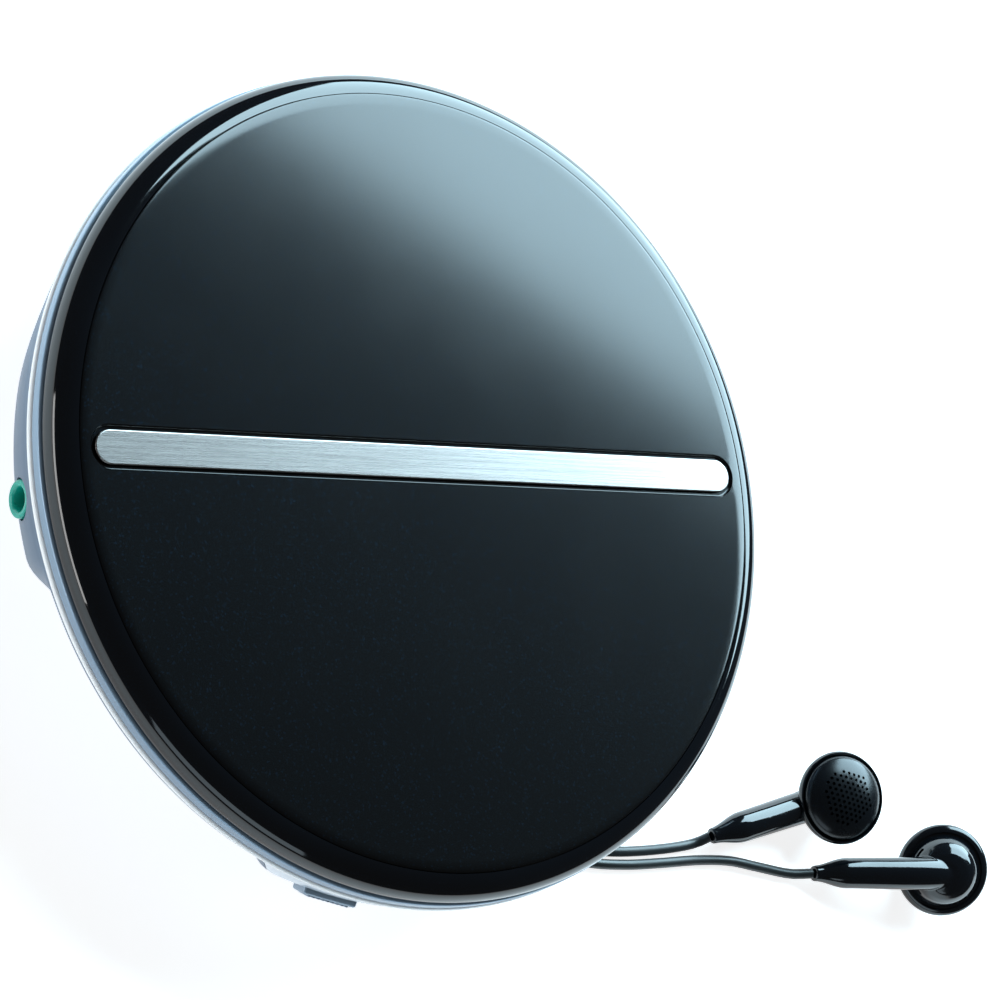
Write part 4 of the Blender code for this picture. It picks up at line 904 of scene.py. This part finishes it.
# %% [markdown]
# ## Lid
# A gloss shell with a quarter-round rim, a flake-lacquered plate let into it, and a brushed
# strip in a groove across the plate. The rim is an ellipse in section, drawn with 24 steps,
# because its reflection shows every flat.

# %% Lid shell
rim_profile = [(0, 24.6), (64.9, 24.6)]
for step in range(25):
    turn = math.radians(90 * step / 24)
    rim_profile.append((64.9 + 4.1 * math.sin(turn), 22.0 + 3.8 * math.cos(turn)))
rim_profile += [(69.0, 21.62), (68.92, 21.42), (68.72, 21.3), (67.0, 21.3), (66.8, 21.5), (66.8, 23.4),
                (66.5, 23.7), (0, 23.7)]
lid = turned("lid_rim", rim_profile, 360)
rooms = [rod(f"room_{x}", (x - half, HINGE_Y, HINGE_Z), (x + half, HINGE_Y, HINGE_Z), radius)
         for x, half, radius in ((-7.3, 2.35, 1.7), (7.3, 2.35, 1.7), (0, 5.2, 1.05))]
shape(lid, "DIFFERENCE", rooms)
shape(lid, "UNION", [knuckle("lid_knuckle", -4.9, 4.9)])
piece(lid, "lid", "lid_gloss", "lid_shell")

# %% Face plate and strip
STRIP_Y = 2.5


def pill_outline(length, width, height):
    """Points of a bar with round ends, in metres."""
    radius = width / 2
    points = []
    for side in (1, -1):
        for step in range(33):
            turn = math.radians(-90 + 180 * step / 32)
            points.append((side * (length / 2 - radius + radius * math.cos(turn)) * MM,
                           (STRIP_Y + side * radius * math.sin(turn)) * MM, height * MM))
    return points


def pill(name, length, width, levels):
    """A bar with round ends, from (height, how much smaller all round) levels."""
    bm = bmesh.new()
    rings = [pill_outline(length - 2 * inset, width - 2 * inset, height) for height, inset in levels]
    skin(bm, rings, around=False)
    return mesh_object(name, bm)


plate_profile = [(0, 24.9), (64.8, 24.9), (64.8, 25.70), (64.76, 25.80), (64.6, 25.87), (64.2, 25.93),
                 (63.6, 25.97), (62.8, 26.0), (0, 26.0)]
plate = turned("lid_plate", plate_profile, 360)
seat = pill("strip_seat", 125.6, 7.0, ((25.35, 0.25), (25.5, 0.0), (25.82, 0.0), (26.02, -0.22), (26.6, -0.22)))
shape(plate, "DIFFERENCE", [seat])
piece(plate, "lid", "lid_flake", "lid_face_plate")
strip = pill("aluminium_strip", 124.2, 5.6,
             ((25.65, 0.0), (25.93, 0.0), (26.0, 0.05), (26.04, 0.13), (26.05, 0.22)))
piece(strip, "lid", "strip_brushed", "trim_strip")

# %% Inner cover
cover_profile = [(17.0, 22.9), (17.6, 22.9), (18.4, 22.75), (19.2, 22.75), (19.8, 22.9), (40.0, 22.9),
                 (40.3, 23.0), (40.6, 22.9), (65.9, 22.9), (66.2, 23.0), (66.3, 23.15), (66.3, 23.4), (17.0, 23.4)]
cover = turned("lid_lining", cover_profile, 240)
shape(cover, "UNION", [block("latch_hook", (64.1, -2, 14.2), (65.4, 2, 23.2), slider_turn)])
piece(cover, "lid", "black_satin", "lid_inner_cover")
print("lid parts made")

# %% [markdown]
# ## Sockets
# The headphone socket has a coloured ring round its mouth. It is a turned ring with a
# rounded lip, and it fills the hole in the wall.

# %% Jack ring
jack_place = Matrix.Translation((0, JACK_Y * MM, JACK_Z * MM)) @ Matrix.Rotation(math.radians(-90), 4, "Y")
lip = [(1.9, 65.2), (3.1, 65.2), (3.1, 68.2), (3.02, 68.45), (2.8, 68.6), (2.35, 68.6), (2.1, 68.45), (1.9, 68.1)]
piece(turned("jack_lip", lip, 96, jack_place), "player", "jack_teal", "jack_ring")

# %% [markdown]
# ## Earphones
# Each housing is one gloss moulding: a dome behind the speaker with a stem that grows out
# of it and thins to the cord. The dome and an oval stem are joined, remeshed and smoothed,
# which gives the soft fillet between them. The flange round the speaker is a turned ring.

# %% Earphone shells
def bud_place(side):
    """A bud's frame: X across, Y along the stem, Z out of its face."""
    head, normal, stem = BUDS[side]
    normal, stem = normal.normalized(), stem.normalized()
    across = stem.cross(normal).normalized()
    along = normal.cross(across).normalized()
    place = Matrix((across, along, normal)).transposed().to_4x4()
    place.translation = head * MM
    return place


TIP_RADIUS = 1.4


def stem_shape(name, side):
    """An oval stem on a curved line from behind the dome to the cord."""
    head, normal, stem = BUDS[side]
    normal, stem = normal.normalized(), stem.normalized()
    tip = head + stem * STEM
    root = head - normal * 3.2
    ends = (root, head - normal * 5.5 + stem * 6.5, tip - stem * 10, tip)
    bm = bmesh.new()
    rings = []
    steps = 40
    for step in range(steps + 1):
        t = step / steps
        weights = ((1 - t) ** 3, 3 * t * (1 - t) ** 2, 3 * t * t * (1 - t), t ** 3)
        centre = sum((point * weight for point, weight in zip(ends, weights)), Vector())
        slopes = (-3 * (1 - t) ** 2, 3 * (1 - t) * (1 - 3 * t), 3 * t * (2 - 3 * t), 3 * t * t)
        way = sum((point * weight for point, weight in zip(ends, slopes)), Vector()).normalized()
        across = way.cross(normal).normalized()
        deep = across.cross(way).normalized()
        close = ease((1 - t) / 0.22)
        half_wide = TIP_RADIUS + (3.0 - 0.35 * t - TIP_RADIUS) * close
        half_deep = TIP_RADIUS + (3.1 - 0.45 * t - TIP_RADIUS) * close
        rings.append([(centre + across * half_wide * math.cos(a) + deep * half_deep * math.sin(a)) * MM
                      for a in (2 * math.pi * i / 40 for i in range(40))])
    skin(bm, rings, around=False)
    return mesh_object(name, bm)


DOME = [(0, -0.6), (6.3, -0.6), (6.25, -1.8), (6.1, -2.4), (5.9, -3.0), (5.45, -4.1), (4.7, -5.1), (3.6, -5.9),
        (2.1, -6.4), (0, -6.5)]
FLANGE = [(5.6, -0.4), (5.6, -1.7), (6.35, -1.75), (6.5, -1.45), (6.75, -1.4), (6.95, -1.6), (7.4, -1.5),
          (7.85, -1.2), (8.12, -0.75), (8.2, -0.25), (8.12, 0.15), (7.95, 0.4), (7.75, 0.45), (7.6, 0.3),
          (7.55, -0.1), (7.4, -0.4)]
for side in BUDS:
    place = bud_place(side)
    shell = turned(f"bud_shell_{side}", DOME, 96, place)
    shape(shell, "UNION", [stem_shape(f"stem_{side}", side)])
    knit = shell.modifiers.new("knit", "REMESH")
    knit.mode = "VOXEL"
    knit.voxel_size = 0.16 * MM
    soften = shell.modifiers.new("soften", "SMOOTH")
    soften.iterations = 14
    soften.factor = 0.5
    settle(shell)
    vents = []
    for turn in (60, 120, 240, 300):
        aside = place @ Matrix.Rotation(math.radians(turn), 4, "Z")
        vents.append(block(f"vent_{turn}", (4.6, -1.5, -3.6), (7.5, 1.5, -2.9), aside, 0.3))
    shape(shell, "DIFFERENCE", vents)
    piece(shell, "player", "earbud_gloss", f"earbud_housing_{side}", degrees=60, weigh=False)
    piece(turned(f"bud_flange_{side}", FLANGE, 128, place), "player", "earbud_gloss")
    print(side, "shell has", len(shell.data.polygons), "faces")

# %% [markdown]
# ## Perforated grilles by Geometry Nodes
# The speaker sits behind a thin dome with a field of round holes. Real holes are cut: a grid
# of points, every second row shifted by half a step, is thinned to a round field, a small
# cylinder stands on each, and one Mesh Boolean takes them all out of the dome. The holes are
# 0.55 mm wide and 1.0 mm apart. Behind them lies black felt.

# %% Grille tree
def grille_tree():
    """Cuts a round field of holes into the object's own mesh."""
    tree, given = new_tree("perforated_grille", takes_mesh=True, Pitch="Float", Hole_Radius="Float",
                           Field_Radius="Float")
    rows = 14
    width = add(tree, "ShaderNodeMath", {0: given["Pitch"], 1: float(rows - 1)}, operation="MULTIPLY")
    tall = add(tree, "ShaderNodeMath", {0: width.outputs[0], 1: 0.866}, operation="MULTIPLY")
    grid = add(tree, "GeometryNodeMeshGrid", {"Size X": width.outputs[0], "Size Y": tall.outputs[0],
                                              "Vertices X": rows, "Vertices Y": rows})
    index = add(tree, "GeometryNodeInputIndex")
    odd = add(tree, "ShaderNodeMath", {0: index.outputs[0], 1: 2.0}, operation="MODULO")
    half = add(tree, "ShaderNodeMath", {0: odd.outputs[0], 1: given["Pitch"]}, operation="MULTIPLY")
    shift = add(tree, "ShaderNodeMath", {0: half.outputs[0], 1: 0.5}, operation="MULTIPLY")
    nudge = add(tree, "ShaderNodeCombineXYZ", {"X": shift.outputs[0]})
    brick = add(tree, "GeometryNodeSetPosition", {"Geometry": grid.outputs["Mesh"], "Offset": nudge.outputs[0]})
    where = add(tree, "GeometryNodeInputPosition")
    far = add(tree, "ShaderNodeVectorMath", {0: where.outputs[0]}, operation="LENGTH")
    outside = add(tree, "FunctionNodeCompare", {0: far.outputs["Value"], 1: given["Field Radius"]},
                  data_type="FLOAT", operation="GREATER_THAN")
    field = add(tree, "GeometryNodeDeleteGeometry",
                {"Geometry": brick.outputs[0], "Selection": outside.outputs[0]},
                domain="POINT")
    drill = add(tree, "GeometryNodeMeshCylinder", {"Vertices": 14, "Radius": given["Hole Radius"],
                                                   "Depth": 8 * MM})
    drills = add(tree, "GeometryNodeInstanceOnPoints", {"Points": field.outputs[0],
                                                        "Instance": drill.outputs["Mesh"]})
    real = add(tree, "GeometryNodeRealizeInstances", {"Geometry": drills.outputs[0]})
    pierced = add(tree, "GeometryNodeMeshBoolean", operation="DIFFERENCE", solver="MANIFOLD")
    tree.links.new(given["Geometry"], pierced.inputs["Mesh 1"])
    tree.links.new(real.outputs[0], pierced.inputs["Mesh 2"])
    return end_tree(tree, pierced.outputs["Mesh"], given["Finish"])


pierce = grille_tree()
outer_dome = [(7.36, 0.0), (7.38, 0.3), (7.2, 0.8), (6.75, 1.3), (6.1, 1.75), (5.1, 2.3), (4.0, 2.72),
              (2.7, 3.06), (1.4, 3.24), (0, 3.3)]
inner_dome = [(radius * 0.93, height - 0.42) for radius, height in outer_dome]
felt = [(0, -0.3), (6.6, -0.3), (6.6, 0.1), (5.6, 1.05), (4.2, 1.75), (2.4, 2.2), (0, 2.4)]
for side in BUDS:
    dome = turned(f"grille_{side}", list(reversed(outer_dome)) + inner_dome, 96)
    grow(dome, pierce, Pitch=1.0 * MM, Hole_Radius=0.275 * MM, Field_Radius=4.7 * MM,
         Finish=finishes["grille_black"])
    dome.data.transform(bud_place(side))
    piece(dome, "player", "grille_black", f"earbud_grille_{side}", degrees=40, weigh=False)
    piece(turned(f"felt_{side}", felt, 64, bud_place(side)), "player", "tie_black")
    print(side, "grille has", len(dome.data.polygons), "faces")

# %% [markdown]
# ## Screw heads by Geometry Nodes
# Four small screws hold the lid's lining. Their heads repeat round a circle, so a tree puts
# one domed head on each point of a circle.

# %% Lining screws
def screw_tree():
    """Screw heads on a circle: count, circle radius and head radius."""
    tree, given = new_tree("screw_circle", Count="Int", Circle_Radius="Float", Head_Radius="Float")
    circle = add(tree, "GeometryNodeMeshCircle", {"Vertices": given["Count"], "Radius": given["Circle Radius"]})
    head = add(tree, "GeometryNodeMeshCylinder",
               {"Vertices": 32, "Radius": given["Head Radius"], "Depth": 0.5 * MM})
    crossed = add(tree, "GeometryNodeMeshBoolean", operation="DIFFERENCE", solver="EXACT")
    tree.links.new(head.outputs["Mesh"], crossed.inputs["Mesh 1"])
    for size in ((1.3 * MM, 0.3 * MM, 0.5 * MM), (0.3 * MM, 1.3 * MM, 0.5 * MM)):
        slot = add(tree, "GeometryNodeMeshCube", {"Size": size})
        lowered = add(tree, "GeometryNodeTransform", {"Geometry": slot.outputs["Mesh"],
                                                      "Translation": (0, 0, -0.35 * MM)})
        tree.links.new(lowered.outputs[0], crossed.inputs["Mesh 2"])
    heads = add(tree, "GeometryNodeInstanceOnPoints", {"Points": circle.outputs[0],
                                                       "Instance": crossed.outputs["Mesh"]})
    return end_tree(tree, heads.outputs[0], given["Finish"])


heads = grown("lining_screws", screw_tree(), Matrix.Rotation(math.radians(45), 4, "Z")
              @ Matrix.Translation((0, 0, 22.78 * MM)),
              Count=4, Circle_Radius=60 * MM, Head_Radius=1.3 * MM, Finish=finishes["steel"])
piece(heads, "lid", "steel", weigh=False)
print("lining screws", len(heads.data.polygons), "faces")

# %% [markdown]
# ## Parts carried over
# The drive, the board, the cells and the contacts keep their frame shapes and only get
# their finishes, by each node's own slot in the record.

# %% Finish the carried nodes
slots = {part["node"]: part["material_slot"] for part in frame["record"]["subparts"]}
for name, node in frame["nodes"].items():
    node.data.materials.clear()
    node.data.materials.append(finishes[slots[name]])
print(len(slots), "nodes painted")

# %% [markdown]
# ## Floor and light
# A plain pale floor, one large softbox beyond the player whose soft reflection falls across
# the upper right of the lid, and two low weak ones, at the left and in front, for the wall.
# The room itself is dim, so that the lid's black stays black.

# %% Floor
bm = bmesh.new()
bmesh.ops.create_grid(bm, x_segments=1, y_segments=1, size=3.0)
floor = mesh_object("floor", bm)
paper, tree, shader = material("pale_paper", Roughness=0.9)
shader.inputs["Base Color"].default_value = colour("F4F5F6")
shader.inputs["Emission Color"].default_value = colour("FFFFFF")
shader.inputs["Emission Strength"].default_value = 0.8
floor.data.materials.append(paper)

# %% Lights
def softbox(name, place, target, wide, tall, power, tint="FFFFFF"):
    """A rectangular area light that faces a target."""
    data = bpy.data.lights.new(name, "AREA")
    data.shape = "RECTANGLE"
    data.size, data.size_y = wide, tall
    data.energy = power
    data.color = colour(tint)[:3]
    made = bpy.data.objects.new(name, data)
    made.location = place
    made.rotation_mode = "QUATERNION"
    made.rotation_quaternion = (Vector(target) - Vector(place)).to_track_quat("-Z", "Y")
    made.visible_camera = False
    collection.objects.link(made)
    return made


# The key stands where the lid mirrors it. Its lower edge runs along key_edge, which puts the
# edge of the soft reflection across the lid from the top left to the right.
key_edge = Vector((0.6943, -0.6300, -0.3479))
key_rise = Vector((0.4305, 0.7509, -0.5008))
key_back = Vector((0.5770, 0.1980, 0.7930))
key = softbox("key", (0, 0, 0), (0, 0, -1), 0.60, 0.62, 16.5, "CCF0FF")
key.rotation_mode = "XYZ"
key.matrix_world = Matrix((key_edge, key_rise, key_back)).transposed().to_4x4()
key.location = Vector((0.3220, 0.1700, 0.4420)) + key_rise * 0.31
softbox("left", (-0.75, 0.05, 0.10), (0, 0, 0.02), 0.6, 0.12, 1.6)
softbox("front", (-0.25, -0.60, 0.20), (0, 0, 0.02), 0.5, 0.2, 0.6, "D8ECF8")

world = bpy.data.worlds.new("studio")
bpy.context.scene.world = world
world.use_nodes = True
world.node_tree.nodes["Background"].inputs["Color"].default_value = colour("FFFFFF")
world.node_tree.nodes["Background"].inputs["Strength"].default_value = 0.06
bpy.context.scene.view_settings.view_transform = "Standard"
print("three softboxes")
